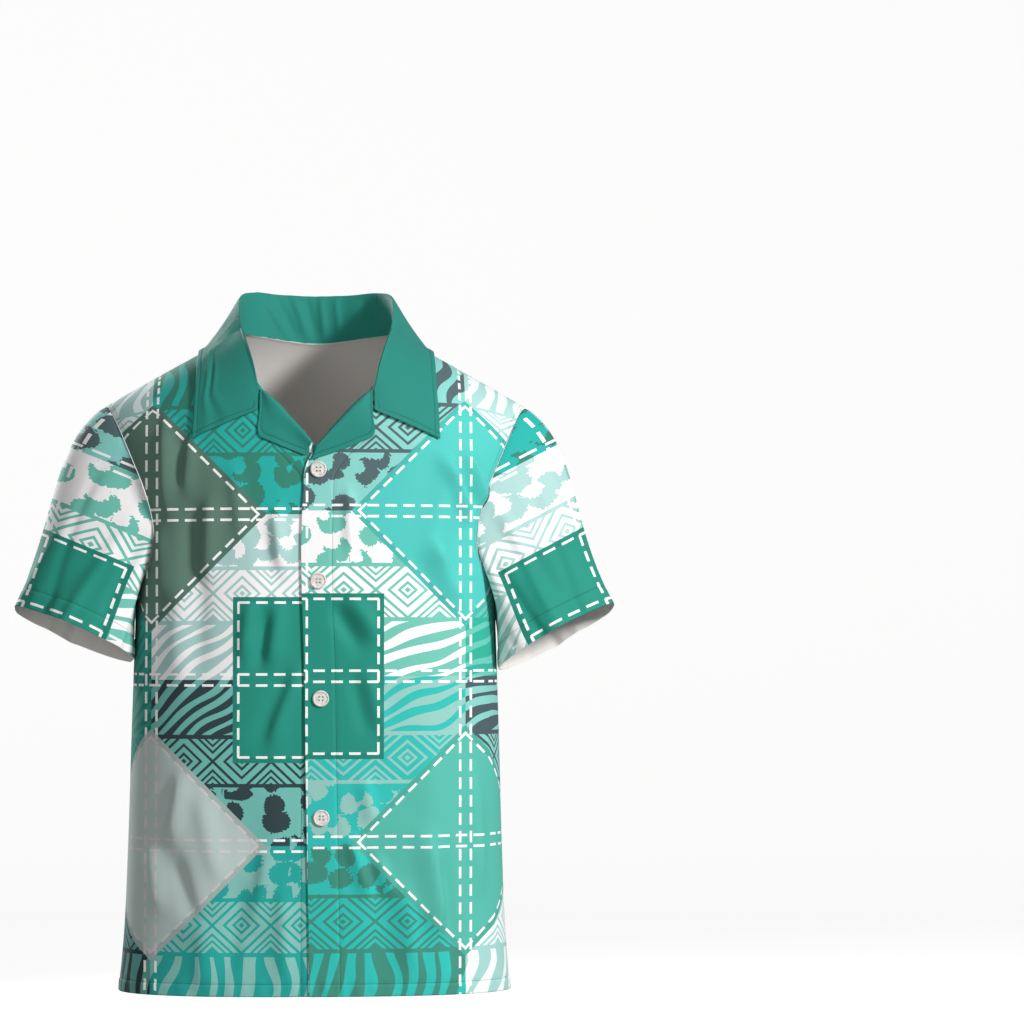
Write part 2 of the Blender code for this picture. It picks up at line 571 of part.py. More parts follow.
def wall(name, cells, surface, spans, thickness, facing, finish, closed=False):
    """A closed cloth wall: a grid laid on surface(u, v) and its copy moved inwards.

    facing is 1 or -1 and turns the wall so that its thickness goes inwards.
    """
    across, down = cells
    u0, u1, v0, v1 = spans
    mesh = bmesh.new()
    bmesh.ops.create_grid(mesh, x_segments=across, y_segments=down, size=0.5)
    u = np.array([u0 + (u1 - u0) * (vert.co.x + 0.5) for vert in mesh.verts])
    v = np.array([v0 + (v1 - v0) * (0.5 - vert.co.y) for vert in mesh.verts])
    point = surface(u, v)
    along_u = surface(u + STEP, v) - surface(u - STEP, v)
    along_v = surface(u, v + STEP) - surface(u, v - STEP)
    inner = point - unit(np.cross(along_u, along_v)) * thickness * facing
    number = mesh.verts.layers.int.new("number")
    for k, vert in enumerate(mesh.verts):
        vert[number] = k
        vert.co = point[k]
    if closed:
        bmesh.ops.remove_doubles(mesh, verts=mesh.verts, dist=MERGE)
    extruded = bmesh.ops.extrude_face_region(mesh, geom=list(mesh.faces))["geom"]
    for part in extruded:
        if isinstance(part, bmesh.types.BMVert):
            part.co = inner[part[number]]
    return add_object(name, mesh, finish)


def button(name, place, finish):
    """A turned button with a dished face and four thread holes, square to the cloth."""
    angle, way = place_of(FRONT, place.x, place.z)
    angle, way = np.array([angle, angle + 1e-3, angle]), np.array([way, way, way + 1e-3])
    centre, beside, below = body_point(FRONT, angle, way, 0.0)
    out = unit(np.cross(below - centre, beside - centre))
    out = out if out[1] < 0 else -out
    rim = BUTTON_RADIUS - BUTTON_RIM
    soft = BUTTON_THICK * 0.3
    profile = [(0, 0), (BUTTON_RADIUS - soft, 0), (BUTTON_RADIUS, soft),
               (BUTTON_RADIUS, BUTTON_THICK - soft), (BUTTON_RADIUS - soft, BUTTON_THICK),
               (rim, BUTTON_THICK), (rim - soft, BUTTON_THICK - BUTTON_DISH),
               (0, BUTTON_THICK - BUTTON_DISH)]
    mesh = bmesh.new()
    verts = [mesh.verts.new((radius, 0, height)) for radius, height in profile]
    edges = [mesh.edges.new(pair) for pair in zip(verts, verts[1:])]
    bmesh.ops.spin(mesh, geom=verts + edges, cent=(0, 0, 0), axis=(0, 0, 1), angle=2 * np.pi,
                   steps=BUTTON_SIDES, use_merge=True)
    bmesh.ops.remove_doubles(mesh, verts=mesh.verts, dist=MERGE)
    made = add_object(name, mesh, finish)
    turn = Vector((0, 0, 1)).rotation_difference(Vector(out)).to_matrix().to_4x4()
    made.matrix_world = Matrix.Translation(Vector(centre + out * (SEAM_GAP + BUTTON_LIFT))) @ turn
    holes = bmesh.new()
    for side_x in (-0.5, 0.5):
        for side_y in (-0.5, 0.5):
            at = Matrix.Translation((side_x * BUTTON_HOLE_PITCH, side_y * BUTTON_HOLE_PITCH, 0))
            bmesh.ops.create_cone(holes, cap_ends=True, segments=BUTTON_HOLE_SIDES, radius1=BUTTON_HOLE,
                                  radius2=BUTTON_HOLE, depth=BUTTON_THICK * 4, matrix=at)
    cutter = add_object(name + "_holes", holes, finish)
    cutter.matrix_world = made.matrix_world
    cutter.hide_render = True
    cutter.display_type = "WIRE"
    cut = made.modifiers.new("thread holes", "BOOLEAN")
    cut.operation = "DIFFERENCE"
    cut.object = cutter
    return made


def build():
    for old in list(bpy.data.objects):
        bpy.data.objects.remove(old, do_unlink=True)
    cloth = material("printed cloth", PRINT_GREEN, 0.75)
    plain = material("plain green cloth", PLAIN_GREEN, 0.75)
    plastic = material("ivory plastic", IVORY, 0.35)
    near, far = SEAM_INSET, 1 - SEAM_INSET
    wall("back", CELLS["back"], back_point, (-far, far, 0, 1), CLOTH, 1, cloth)
    for hand, name in ((WEARER_RIGHT, "right"), (WEARER_LEFT, "left")):
        wall("front_" + name, CELLS["front"], lambda u, v: front_point(hand, u, v),
             (near, far, 0, 1), CLOTH, -hand, cloth)
        wall("sleeve_" + name, CELLS["sleeve"], lambda u, v: sleeve_point(hand, u, v),
             (-1, 1, 0, 1), CLOTH, -hand, cloth, closed=True)
        wall("lapel_" + name, CELLS["lapel"], lambda u, v: lapel_point(hand, v, u),
             (0, 1, 0, 1), COLLAR_CLOTH, -hand, plain)
    wall("collar", CELLS["collar"], collar_point, (-1, 1, 0, 1), COLLAR_CLOTH, 1, plain)
    for number, place in enumerate(BUTTONS, start=1):
        button(f"button_{number}", place, plastic)


build()
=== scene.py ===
"""Short-sleeved camp-collar shirt in a printed patchwork cloth, filled out as if worn.

Each section follows one piece of the shirt in the order in which a maker would sew them on.
Metres, +Z up, the front faces -Y and the wearer's left is +X.
"""
import ast
from collections import namedtuple

import bmesh
import bpy
import numpy as np
from mathutils import Matrix, Vector


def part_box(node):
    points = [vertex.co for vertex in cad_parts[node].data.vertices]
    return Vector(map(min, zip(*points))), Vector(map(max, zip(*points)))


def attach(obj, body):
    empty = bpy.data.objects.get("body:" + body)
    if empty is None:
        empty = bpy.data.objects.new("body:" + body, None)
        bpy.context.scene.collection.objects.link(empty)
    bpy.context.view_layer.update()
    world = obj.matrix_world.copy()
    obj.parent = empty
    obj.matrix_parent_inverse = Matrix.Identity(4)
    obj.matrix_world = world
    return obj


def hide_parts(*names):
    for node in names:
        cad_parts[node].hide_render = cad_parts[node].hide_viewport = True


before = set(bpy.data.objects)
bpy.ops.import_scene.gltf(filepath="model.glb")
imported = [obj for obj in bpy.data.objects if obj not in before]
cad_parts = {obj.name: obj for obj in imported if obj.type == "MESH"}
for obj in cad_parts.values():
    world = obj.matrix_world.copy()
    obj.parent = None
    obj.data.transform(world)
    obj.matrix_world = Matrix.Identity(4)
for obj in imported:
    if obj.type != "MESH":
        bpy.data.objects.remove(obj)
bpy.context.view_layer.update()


# ---- Back panel ---------------------------------------------------------------------------
# One piece of light woven polyester, printed on its face and plain inside, without yoke or
# pleat. It is sewn to the fronts along the shoulders and sides and hangs from the shoulders.

FRONT, BACK = -1, 1
WEARER_RIGHT, WEARER_LEFT = -1, 1
CLOTH = 0.0007            # thickness of the printed cloth as it is drawn
HEM_Z = -0.718
NECK_SIDE_X = 0.081       # neck point of the shoulder seam
ARMPIT_Z = -0.284
SHOULDER_SLOPE = 0.585
NECK_ROUND = 0.050        # how softly the ridge crosses the neck
SQUARENESS = 2.5          # exponent of the ring sections: 2 is an ellipse
ROLL_RADIUS = {FRONT: 0.125, BACK: 0.110}   # rounding of front and back over the shoulder
SETTLE_ROUNDS = 9         # rounds in which a point's height and its ring agree
FOLD_FADE = (0.99, 0.86)  # folds end towards the side seams, in shares of the half width
SEAM_INSET = 0.0011       # share of a panel cut back at a seam
SEAM_SHIFT = 0.00015      # half the gap at the shoulder seam
FINE_STEPS = 160          # points used to measure a line
STEP = 1e-4               # share of a piece used to read the slope of its surface
MERGE = 1e-5              # points nearer than this are joined
SEAM_ALLOWANCE = 0.005    # cloth turned to the inside along a sewn edge

# Rings of the body from the hem up.
Ring = namedtuple("Ring", "z half_width front back")
RINGS = [
    Ring(-0.730, 0.2145, 0.1120, 0.1180),
    Ring(-0.654, 0.2080, 0.1110, 0.1150),
    Ring(-0.558, 0.2040, 0.1120, 0.1130),
    Ring(-0.448, 0.2010, 0.1145, 0.1140),
    Ring(-0.365, 0.1985, 0.1165, 0.1165),
    Ring(-0.284, 0.1965, 0.1185, 0.1200),
    Ring(-0.232, 0.1975, 0.1185, 0.1215),
    Ring(-0.175, 0.2080, 0.1170, 0.1210),
    Ring(-0.120, 0.2270, 0.1140, 0.1180),
    Ring(-0.070, 0.2470, 0.1100, 0.1130),
    Ring(0.000, 0.2700, 0.1050, 0.1070),
    Ring(0.060, 0.2850, 0.1000, 0.1020),
]

# The back's armhole from the shoulder seam to the armpit: the angle round the body in
# degrees, and the way down the cloth from the ridge of the shoulder.
Armhole = namedtuple("Armhole", "angle way")
ARMHOLES = {
    BACK: [Armhole(78.6, 0.000), Armhole(75.9, 0.086), Armhole(73.8, 0.140), Armhole(71.6, 0.180),
           Armhole(70.2, 0.216), Armhole(70.6, 0.244), Armhole(74.0, 0.268), Armhole(80.6, 0.281),
           Armhole(90.0, 0.2860)],
}
ARMHOLE_SHARE = {BACK: 10 / 24}   # share of the side edge that is armhole
BACK_NECK_SHARE = 6 / 14  # share of half the back's top edge that is neck seam
BACK_NECK_SAG = 0.0052    # how far the neck seam sags between the neck points at the back
BACK_NECK_ROUND = 0.9     # exponent of the neck's curve

# Folds: soft ridges (rise above 0) and troughs along a line on a body panel. The creases are the
# narrower ones between them. Most of the upper ones lie where the cloth shows a light and a dark
# band, and the others are placed so that no stretch of cloth hangs flat.
Fold = namedtuple("Fold", "x0 z0 x1 z1 width rise")
BACK_FOLDS = [
    Fold(-0.020, -0.110, -0.024, -0.560, 0.014, -0.0050),
    Fold(0.006, -0.140, 0.004, -0.600, 0.012, 0.0040),
    Fold(-0.110, -0.200, -0.124, -0.690, 0.018, 0.0046),
    Fold(-0.070, -0.330, -0.080, -0.705, 0.015, -0.0036),
    Fold(0.080, -0.180, 0.094, -0.520, 0.016, -0.0040),
    Fold(0.128, -0.260, 0.138, -0.690, 0.019, 0.0050),
    Fold(0.060, -0.470, 0.066, -0.710, 0.016, 0.0036),
]
# Shares of its line over which a fold rises and dies away.
FOLD_RISES, FOLD_DIES = (-0.12, 0.30), (0.70, 1.12)
CREASE_DEPTH = 1.6        # how much deeper the creases lie than their rows say
BACK_CREASES = [
    Fold(0.176, -0.085, 0.173, -0.190, 0.0075, 0.0036),
    Fold(0.150, -0.095, 0.151, -0.235, 0.0110, -0.0040),
    Fold(0.127, -0.115, 0.131, -0.225, 0.0080, 0.0032),
    Fold(0.113, -0.130, 0.118, -0.215, 0.0070, -0.0026),
    Fold(0.062, -0.110, 0.068, -0.170, 0.0090, -0.0022),
    Fold(0.036, -0.190, 0.040, -0.480, 0.0110, -0.0038),
    Fold(0.006, -0.170, 0.006, -0.520, 0.0110, 0.0040),
    Fold(-0.038, -0.200, -0.042, -0.500, 0.0120, -0.0028),
    Fold(-0.121, -0.100, -0.130, -0.240, 0.0095, 0.0054),
    Fold(-0.139, -0.105, -0.151, -0.225, 0.0075, -0.0036),
    Fold(-0.157, -0.095, -0.170, -0.230, 0.0070, 0.0044),
    Fold(-0.080, -0.440, -0.086, -0.600, 0.0100, 0.0032),
    Fold(-0.112, -0.480, -0.120, -0.620, 0.0110, 0.0034),
    Fold(-0.150, -0.560, -0.168, -0.690, 0.0100, 0.0030),
    Fold(0.092, -0.600, 0.090, -0.712, 0.0090, 0.0030),
    Fold(0.150, -0.480, 0.156, -0.640, 0.0110, -0.0032),
    Fold(0.128, -0.520, 0.124, -0.690, 0.0100, 0.0028),
    Fold(-0.014, -0.560, -0.010, -0.712, 0.0105, 0.0028),
    Fold(0.028, -0.540, 0.031, -0.705, 0.0105, -0.0026),
    Fold(-0.050, -0.560, -0.056, -0.705, 0.0100, -0.0026),
    Fold(-0.142, -0.300, -0.152, -0.450, 0.0100, 0.0028),
    Fold(0.146, -0.290, 0.154, -0.440, 0.0100, 0.0028),
]


def bridge(start, end, leave, arrive, t):
    """Smooth way from start to end that leaves and arrives with set slopes; t runs from 0 to 1."""
    rise = t * t * (3 - 2 * t)
    return start * (1 - rise) + end * rise + leave * t * (1 - t) ** 2 - arrive * t * t * (1 - t)


def curve(keys, values, at):
    """Smooth curve through values at keys."""
    slopes = np.gradient(values, keys)
    at = np.clip(at, keys[0], keys[-1])
    low = np.clip(np.searchsorted(keys, at) - 1, 0, len(keys) - 2)
    span = keys[low + 1] - keys[low]
    return bridge(values[low], values[low + 1], span * slopes[low], span * slopes[low + 1],
                  (at - keys[low]) / span)


def read(table, at, column):
    """Smooth value of a named column at a place along the table's first column."""
    keys = np.array([row[0] for row in table])
    return curve(keys, np.array([getattr(row, column) for row in table]), at)


def ease(value, start, end):
    """0 before start, 1 after end, smooth between."""
    t = np.clip((value - start) / (end - start), 0, 1)
    return t * t * (3 - 2 * t)


def unit(vectors):
    return vectors / np.linalg.norm(vectors, axis=-1, keepdims=True)


def ridge(x):
    """Height of the shoulder ridge, which is also the line of the shoulder seams."""
    return SHOULDER_SLOPE * (np.hypot(NECK_SIDE_X, NECK_ROUND) - np.hypot(x, NECK_ROUND))


def fall(way, radius):
    """Height lost after a way down the cloth from the ridge: a quarter circle, then straight."""
    turn = np.minimum(way / radius, np.pi / 2)
    return radius * (1 - np.cos(turn)) + np.maximum(way - radius * np.pi / 2, 0)


def way_down(height, radius):
    """The other way round: the way down the cloth that loses some height."""
    turn = np.arccos(np.clip(1 - height / radius, 0, 1))
    return radius * turn + np.maximum(height - radius, 0)


def ring(side, z):
    """Half width and depth of the body's ring at a height; side is below 0 in front."""
    depths = [read(RINGS, z, column) for column in ("front", "back")]
    return read(RINGS, z, "half_width"), np.where(side < 0, *depths)


def ring_reach(angle, wide, deep):
    """Distance from the body's middle line to its ring at an angle."""
    return ((np.abs(np.sin(angle)) / wide) ** SQUARENESS
            + (np.abs(np.cos(angle)) / deep) ** SQUARENESS) ** (-1 / SQUARENESS)


def fold_rise(folds, x, z):
    """How far some folds move the cloth outwards at a place."""
    rise = np.zeros(np.broadcast(x, z).shape)
    for fold in folds:
        along_x, along_z = fold.x1 - fold.x0, fold.z1 - fold.z0
        length = np.hypot(along_x, along_z)
        along = ((x - fold.x0) * along_x + (z - fold.z0) * along_z) / length ** 2
        across = ((x - fold.x0) * along_z - (z - fold.z0) * along_x) / length
        taper = ease(along, *FOLD_RISES) * (1 - ease(along, *FOLD_DIES))
        rise = rise + fold.rise * taper * np.exp(-(across / fold.width) ** 2)
    return rise


folds_of, creases_of = {BACK: BACK_FOLDS}, {BACK: BACK_CREASES}


def body_point(face, angle, way, lift=0.0):
    """Point of the body's outer surface.

    angle runs from 0 at the middle of the front or back to a quarter turn at the side,
    negative on the wearer's right, and way is the length of cloth down from the ridge.
    """
    x = np.zeros(np.broadcast(angle, way).shape)
    radius = ROLL_RADIUS[face]
    for _ in range(SETTLE_ROUNDS):
        z = ridge(x) - fall(way, radius)
        wide, deep = ring(face, z)
        reach = ring_reach(angle, wide, deep)
        x = reach * np.sin(angle)
    near_side = ease(np.abs(x) / wide, *FOLD_FADE)
    rise = fold_rise(folds_of[face], x, z) + CREASE_DEPTH * fold_rise(creases_of[face], x, z)
    reach = reach + rise * near_side + lift
    swell = np.sin(np.minimum(way / radius, np.pi / 2))
    return np.stack([reach * np.sin(angle), face * reach * np.cos(angle) * swell, z], axis=-1)


def place_of(face, x, z):
    """Angle and way of the surface point at x and z."""
    wide, deep = ring(face, z)
    left = np.clip(1 - (np.abs(x) / wide) ** SQUARENESS, 0, 1)
    angle = np.arctan2(x, deep * left ** (1 / SQUARENESS))
    return angle, way_down(np.maximum(ridge(x) - z, 0), ROLL_RADIUS[face])


def lengths_along(face, angles, ways):
    """Length of cloth along a line of places, from its start."""
    points = body_point(face, angles, ways)
    steps = np.linalg.norm(np.diff(points, axis=0), axis=1)
    return np.concatenate([[0.0], np.cumsum(steps)])


def line_place(face, angles, ways, share):
    """Place at a share of the length of the smooth line through some places."""
    fine = np.linspace(0, 1, FINE_STEPS)
    knots = lengths_along(face, angles, ways)
    knots = knots / knots[-1]
    fine_angles, fine_ways = curve(knots, angles, fine), curve(knots, ways, fine)
    true = lengths_along(face, fine_angles, fine_ways)
    at = np.interp(share, true / true[-1], fine)
    return curve(knots, angles, at), curve(knots, ways, at)


def armhole_place(face, share, hand):
    """The armhole from the shoulder seam (0) to the armpit (1)."""
    table = ARMHOLES[face]
    armpit = way_down(ridge(read(RINGS, ARMPIT_Z, "half_width")) - ARMPIT_Z, ROLL_RADIUS[face])
    scale = armpit / table[-1].way
    return line_place(face, hand * np.radians([row.angle for row in table]),
                      np.array([row.way for row in table]) * scale, share)


def side_place(face, share, hand):
    """The armhole, then the side seam from the armpit down to the hem."""
    angle, way = armhole_place(face, np.clip(share / ARMHOLE_SHARE[face], 0, 1), hand)
    down = np.clip((share - ARMHOLE_SHARE[face]) / (1 - ARMHOLE_SHARE[face]), 0, 1)
    z = ARMPIT_Z + (HEM_Z - ARMPIT_Z) * down
    side_way = way_down(ridge(read(RINGS, z, "half_width")) - z, ROLL_RADIUS[face])
    under_arm = share >= ARMHOLE_SHARE[face]
    return np.where(under_arm, hand * np.pi / 2, angle), np.where(under_arm, side_way, way)


def back_top_place(across):
    """The back neck seam from the middle to the neck point, then the shoulder seam."""
    neck, _ = place_of(BACK, NECK_SIDE_X, 0.0)
    shoulder = np.radians(ARMHOLES[BACK][0].angle)
    turn = np.clip(across / BACK_NECK_SHARE, 0, 1) * np.pi / 2
    along = np.clip((across - BACK_NECK_SHARE) / (1 - BACK_NECK_SHARE), 0, 1)
    angle = neck * np.sin(turn) ** BACK_NECK_ROUND + (shoulder - neck) * along
    side = np.sin(turn) ** BACK_NECK_ROUND
    low = ridge(NECK_SIDE_X * side) + BACK_NECK_SAG * (1 - side ** 2)
    return angle, way_down(np.maximum(low, 0), ROLL_RADIUS[BACK]) * (across < BACK_NECK_SHARE)


def back_middle_place(share):
    """The middle of the back from the neck seam (0) to the hem (1)."""
    top = back_top_place(0.0)[1]
    bottom = way_down(ridge(0.0) - HEM_Z, ROLL_RADIUS[BACK])
    return 0 * share, top + (bottom - top) * share


def hem_place(face, angle):
    """Place on the level hem at an angle."""
    reach = ring_reach(angle, *ring(face, HEM_Z))
    return angle, way_down(ridge(reach * np.sin(angle)) - HEM_Z, ROLL_RADIUS[face])


def panel_place(face, top, middle, side, u, v):
    """Place on a panel spanned between its four edges; u runs to the side and v to the hem."""
    start, end = middle(1.0)[0], side(1.0)[0]
    edges = {"top": top(u), "middle": middle(v), "side": side(v),
             "hem": hem_place(face, start * (1 - u) + end * u)}
    corners = [middle(0.0), side(0.0), middle(1.0), side(1.0)]
    place = []
    for k in (0, 1):
        flat = ((1 - u) * (1 - v) * corners[0][k] + u * (1 - v) * corners[1][k]
                + (1 - u) * v * corners[2][k] + u * v * corners[3][k])
        place.append((1 - u) * edges["middle"][k] + u * edges["side"][k]
                     + (1 - v) * edges["top"][k] + v * edges["hem"][k] - flat)
    return place


def back_point(u, v):
    """u runs from -1 at the wearer's right side over the middle to 1 at the left side."""
    hand = np.where(u < 0, WEARER_RIGHT, WEARER_LEFT)
    angle, way = panel_place(BACK, back_top_place, back_middle_place,
                             lambda share: side_place(BACK, share, 1), np.abs(u), v)
    return body_point(BACK, hand * angle, way + SEAM_SHIFT)


# A piece laid out: its grid of points in rows and columns, and for each point the length of
# cloth from the edge where u starts, where u ends, from the top and from the hem.
Laid = namedtuple("Laid", "u v points out start end top hem")


def lay(surface, cells, u_span, facing, crowd=0.55):
    """Lays a grid on surface(u, v), with its rows and columns crowded towards the edges.

    facing is 1 or -1 and says which side of the surface is out.
    """
    across, down = (np.linspace(0, 1, count + 1) for count in cells)
    across, down = (t - crowd * np.sin(2 * np.pi * t) / (2 * np.pi) for t in (across, down))
    u, v = np.meshgrid(u_span[0] + (u_span[1] - u_span[0]) * across, down)
    points = surface(u, v)
    along_u = surface(u + STEP, v) - surface(u - STEP, v)
    along_v = surface(u, v + STEP) - surface(u, v - STEP)
    out = unit(np.cross(along_u, along_v)) * facing
    right = np.linalg.norm(np.diff(points, axis=1), axis=2)
    lower = np.linalg.norm(np.diff(points, axis=0), axis=2)
    start = np.pad(np.cumsum(right, axis=1), ((0, 0), (1, 0)))
    top = np.pad(np.cumsum(lower, axis=0), ((1, 0), (0, 0)))
    return Laid(u, v, points, out, start, start[:, -1:] - start, top, top[-1:] - top)


def finished_mesh(name, mesh):
    """The mesh data made from a bmesh, which it frees."""
    data = bpy.data.meshes.new(name)
    mesh.to_mesh(data)
    mesh.free()
    return data


def add_object(name, data):
    """A new object in the scene."""
    made = bpy.data.objects.new(name, data)
    bpy.context.collection.objects.link(made)
    return made


def sew_piece(name, laid, relief, maps, facing, finishes, thickness=CLOTH, closed=False, turned_in=""):
    """Makes a thin cloth piece from a laid grid, raised by relief along its outer side.

    maps holds a pair of arrays for each UV map by name, finishes the outer and inner material.
    turned_in names the sewn edges, where a seam allowance turns to the inside.
    """
    points = laid.points + laid.out * relief[..., None]
    sides = {"top": (1, 0, 0, 0), "start": (0, 0, 1, 0), "end": (0, 0, 0, 1)}
    for side in turned_in.split():
        before, after, left, right = sides[side]
        grow = ((before, after), (left, right))
        inner = points - laid.out * SEAM_ALLOWANCE
        lip = np.pad(inner, (*grow, (0, 0)), mode="edge")
        points = np.pad(points, (*grow, (0, 0)), constant_values=np.nan)
        points = np.where(np.isnan(points), lip, points)
        laid = laid._replace(out=np.pad(laid.out, (*grow, (0, 0)), mode="edge"))
        maps = {key: [np.pad(half, grow, mode="edge") for half in pair] for key, pair in maps.items()}
    rows, columns = points.shape[:2]
    mesh = bmesh.new()
    bmesh.ops.create_grid(mesh, x_segments=columns - 1, y_segments=rows - 1, size=0.5)
    layers = {key: mesh.loops.layers.uv.new(key) for key in maps}
    places = {}
    for vert in mesh.verts:
        place = round((0.5 - vert.co.y) * (rows - 1)), round((vert.co.x + 0.5) * (columns - 1))
        places[vert] = place
        vert.co = points[place]
    for face in mesh.faces:
        face.smooth = True
        for loop in face.loops:
            place = places[loop.vert]
            for key, (first, second) in maps.items():
                loop[layers[key]].uv = first[place], second[place]
    if facing > 0:
        bmesh.ops.reverse_faces(mesh, faces=mesh.faces)
    if closed:
        bmesh.ops.remove_doubles(mesh, verts=mesh.verts, dist=MERGE)
    piece = add_object(name, finished_mesh(name, mesh))
    for finish in finishes:
        piece.data.materials.append(finish)
    wall = piece.modifiers.new("thickness", "SOLIDIFY")
    wall.thickness = thickness
    wall.offset = -1
    wall.material_offset = len(finishes) - 1
    return piece


def linear(colour):
    """An sRGB hex colour as linear values."""
    parts = [int(colour[k:k + 2], 16) / 255 for k in (1, 3, 5)]
    return (*(c / 12.92 if c <= 0.04045 else ((c + 0.055) / 1.055) ** 2.4 for c in parts), 1.0)


def put(tree, kind, inputs=(), **settings):
    """Adds a shader node with its settings; inputs are values or sockets, in order or by name."""
    made = tree.nodes.new("ShaderNode" + kind)
    for name, value in settings.items():
        setattr(made, name, value)
    named = inputs.items() if isinstance(inputs, dict) else enumerate(inputs)
    for key, value in named:
        if isinstance(value, bpy.types.NodeSocket):
            tree.links.new(value, made.inputs[key])
        elif value is not None:
            made.inputs[key].default_value = value
    return made


OPERATIONS = {ast.Add: "ADD", ast.Sub: "SUBTRACT", ast.Mult: "MULTIPLY", ast.Div: "DIVIDE",
              ast.Mod: "FLOORED_MODULO", ast.Lt: "LESS_THAN", ast.Gt: "GREATER_THAN"}
WORDS = {"abs": "ABSOLUTE", "floor": "FLOOR", "frac": "FRACT", "sin": "SINE", "min": "MINIMUM",
         "max": "MAXIMUM"}


def work_out(tree, text, **values):
    """Writes a formula, given as text with named values, as a chain of Math nodes."""
    def part(term):
        if isinstance(term, ast.Constant):
            return float(term.value)
        if isinstance(term, ast.Name):
            return values[term.id]
        if isinstance(term, ast.UnaryOp):
            operation, terms = "MULTIPLY", [term.operand, ast.Constant(-1.0)]
        elif isinstance(term, ast.BinOp):
            operation, terms = OPERATIONS[type(term.op)], [term.left, term.right]
        elif isinstance(term, ast.Compare):
            operation, terms = OPERATIONS[type(term.ops[0])], [term.left, term.comparators[0]]
        else:
            operation, terms = WORDS[term.func.id], term.args
        return put(tree, "Math", [part(each) for each in terms], operation=operation).outputs[0]
    return part(ast.parse(text).body[0].value)


# The printed patchwork, in repeats of the print: u to the right and v up from the middle of
# the plain square. Its rows and columns are one repeat high and wide.
REPEAT = 0.177            # metres
MM = 0.001 / REPEAT
Cell = namedtuple("Cell", "ground motif")
CELLS = [                 # rows from the top, columns from the left
    Cell("#dfeceb", "#9cc4c0"), Cell("#1fa8a0", "#2e7d6b"),
    Cell("#84cbc3", "#4f6468"), Cell("#e4efee", "#a6cfca"),
    Cell("#0f7f73", "#2b9385"), Cell("#f3f1f1", "#a6cbc7"),
    Cell("#f5f3f3", "#6dbfae"), Cell("#63bfb0", "#2ba893"),
    Cell("#0f7f73", "#2b9385"), Cell("#6db7ad", "#2b3f43"),
    Cell("#2cb9b0", "#8fc4bb"), Cell("#83c8c0", "#44595e"),
    Cell("#5a9a94", "#1d353a"), Cell("#7fbab2", "#1c9f96"),
    Cell("#2bbab0", "#3a8a78"), Cell("#e9f1f0", "#9fcdc8"),
]
SQUARE_HALF = 0.5         # half the side of the plain square
SLANT = 0.7071            # a diagonal step as a share of the step across it
POINT_HALF = 0.70         # half the diagonal of the squares on point
# Squares on point by quadrant: upper left, upper right, lower left, lower right.
POINT_SQUARES = ["#5a7a6c", "#4cc0b7", "#b3c3bf", "#52b5a5"]
PLAIN_SQUARE = "#1b8a78"
DASH_LONG, DASH_PITCH, DASH_HALF_WIDE = 12.4 * MM, 19.2 * MM, 1.35 * MM
DASH_INSET = 5.9 * MM     # from the edge of a patch, and from the middle of a double line
DASH_WHITE, DASH_ON_SILVER = "#f7f7f6", "#ccc6c7"
# Nested diamonds: pitch left and right of the middle, half their height, and their lines.
DIAMOND_PITCH, DIAMOND_HIGH = (0.352, 0.388), 0.168
DiamondRing = namedtuple("DiamondRing", "at half")
DIAMOND_RINGS = [DiamondRing(0.27, 0.060), DiamondRing(0.59, 0.060), DiamondRing(1.00, 0.066),
                 DiamondRing(1.32, 0.056), DiamondRing(1.55, 0.050)]
DIAMOND_SHIFT, DIAMOND_SHIFT_RIGHT = 0.7623, 0.08
DIAMOND_MIDDLE = 0.508    # from an odd line up to the middle of a row of diamonds
DIAMOND_SINK = 0.030      # how much less it is below the line
DIAMOND_CORE, DIAMOND_CORNER = 0.10, 1.74   # sizes below and above which a diamond is filled
# The bands on either side of each odd line of the print, in shares of a repeat from the line:
# spots, a bar, nested diamonds, a bar and stripes.
SPOTS_END, SPOTS_END_UNDER, BAR = 0.352, 0.315, 0.022
DIAMONDS_END, STRIPES_START = 0.643, 0.668
# Spots: how many to a repeat, how far they reach in shares of their spacing and how much that
# varies, what the wandering edge and its fur take off, the place and size of the bite, and the
# share of the spots that have one.
SPOTS_PER_REPEAT, SPOT_SIZE, SPOT_RANGE = 6.2, 0.54, 0.24
SPOT_WAVY, SPOT_FURRY = 0.30, 0.15
SPOT_BITE, BITE_SIZE, BITTEN = (0.040, -0.031, 0), 0.06, 0.45
# Scales of the noise that shapes the spots, furs their edge, swings the stripes and varies the dye.
FORM_SCALE, FUR_SCALE, SWING_SCALE, DYE_SCALE = 9.0, 75.0, 2.6, 150.0
# Stripes: the slanting ones to a repeat upwards and, left and right of the middle, sideways; the
# upright ones to a repeat and how they lean; how far both swing, and half their width at least
# and how much it varies.
STRIPES_UP, STRIPES_SIDEWAYS = 10.4, (8.8, 3.4)
STRIPES_UPRIGHT, UPRIGHT_LEAN = 8.6, 0.9
STRIPE_SWING, STRIPE_HALF, STRIPE_RANGE = (1.6, 1.5), 0.03, 0.46
RIM_COLOUR, RIM_SHARE = "#00524a", 0.22
DASH_START = 0.33
THREADS = 1.2 * MM        # the real threads, 0.2 mm apart, are too fine to show
DYE_UNEVEN = 0.14         # how much the take-up of the dye varies
BUMP_STRENGTH, BUMP_DISTANCE = 0.25, 0.0003
PRINTED_ROUGH, PLAIN_ROUGH = 0.72, 0.75
GROOVE_HALF = 0.0009      # half the width of the groove that a line of stitches pulls in
GROOVE_SHADE, GROOVE_DEEP = 0.34, 2.4   # painted shade: how much darker the groove's colour is made, and its depth in depths of the weave
NO_LINE = 1.0             # value of the seams map where a piece has no line


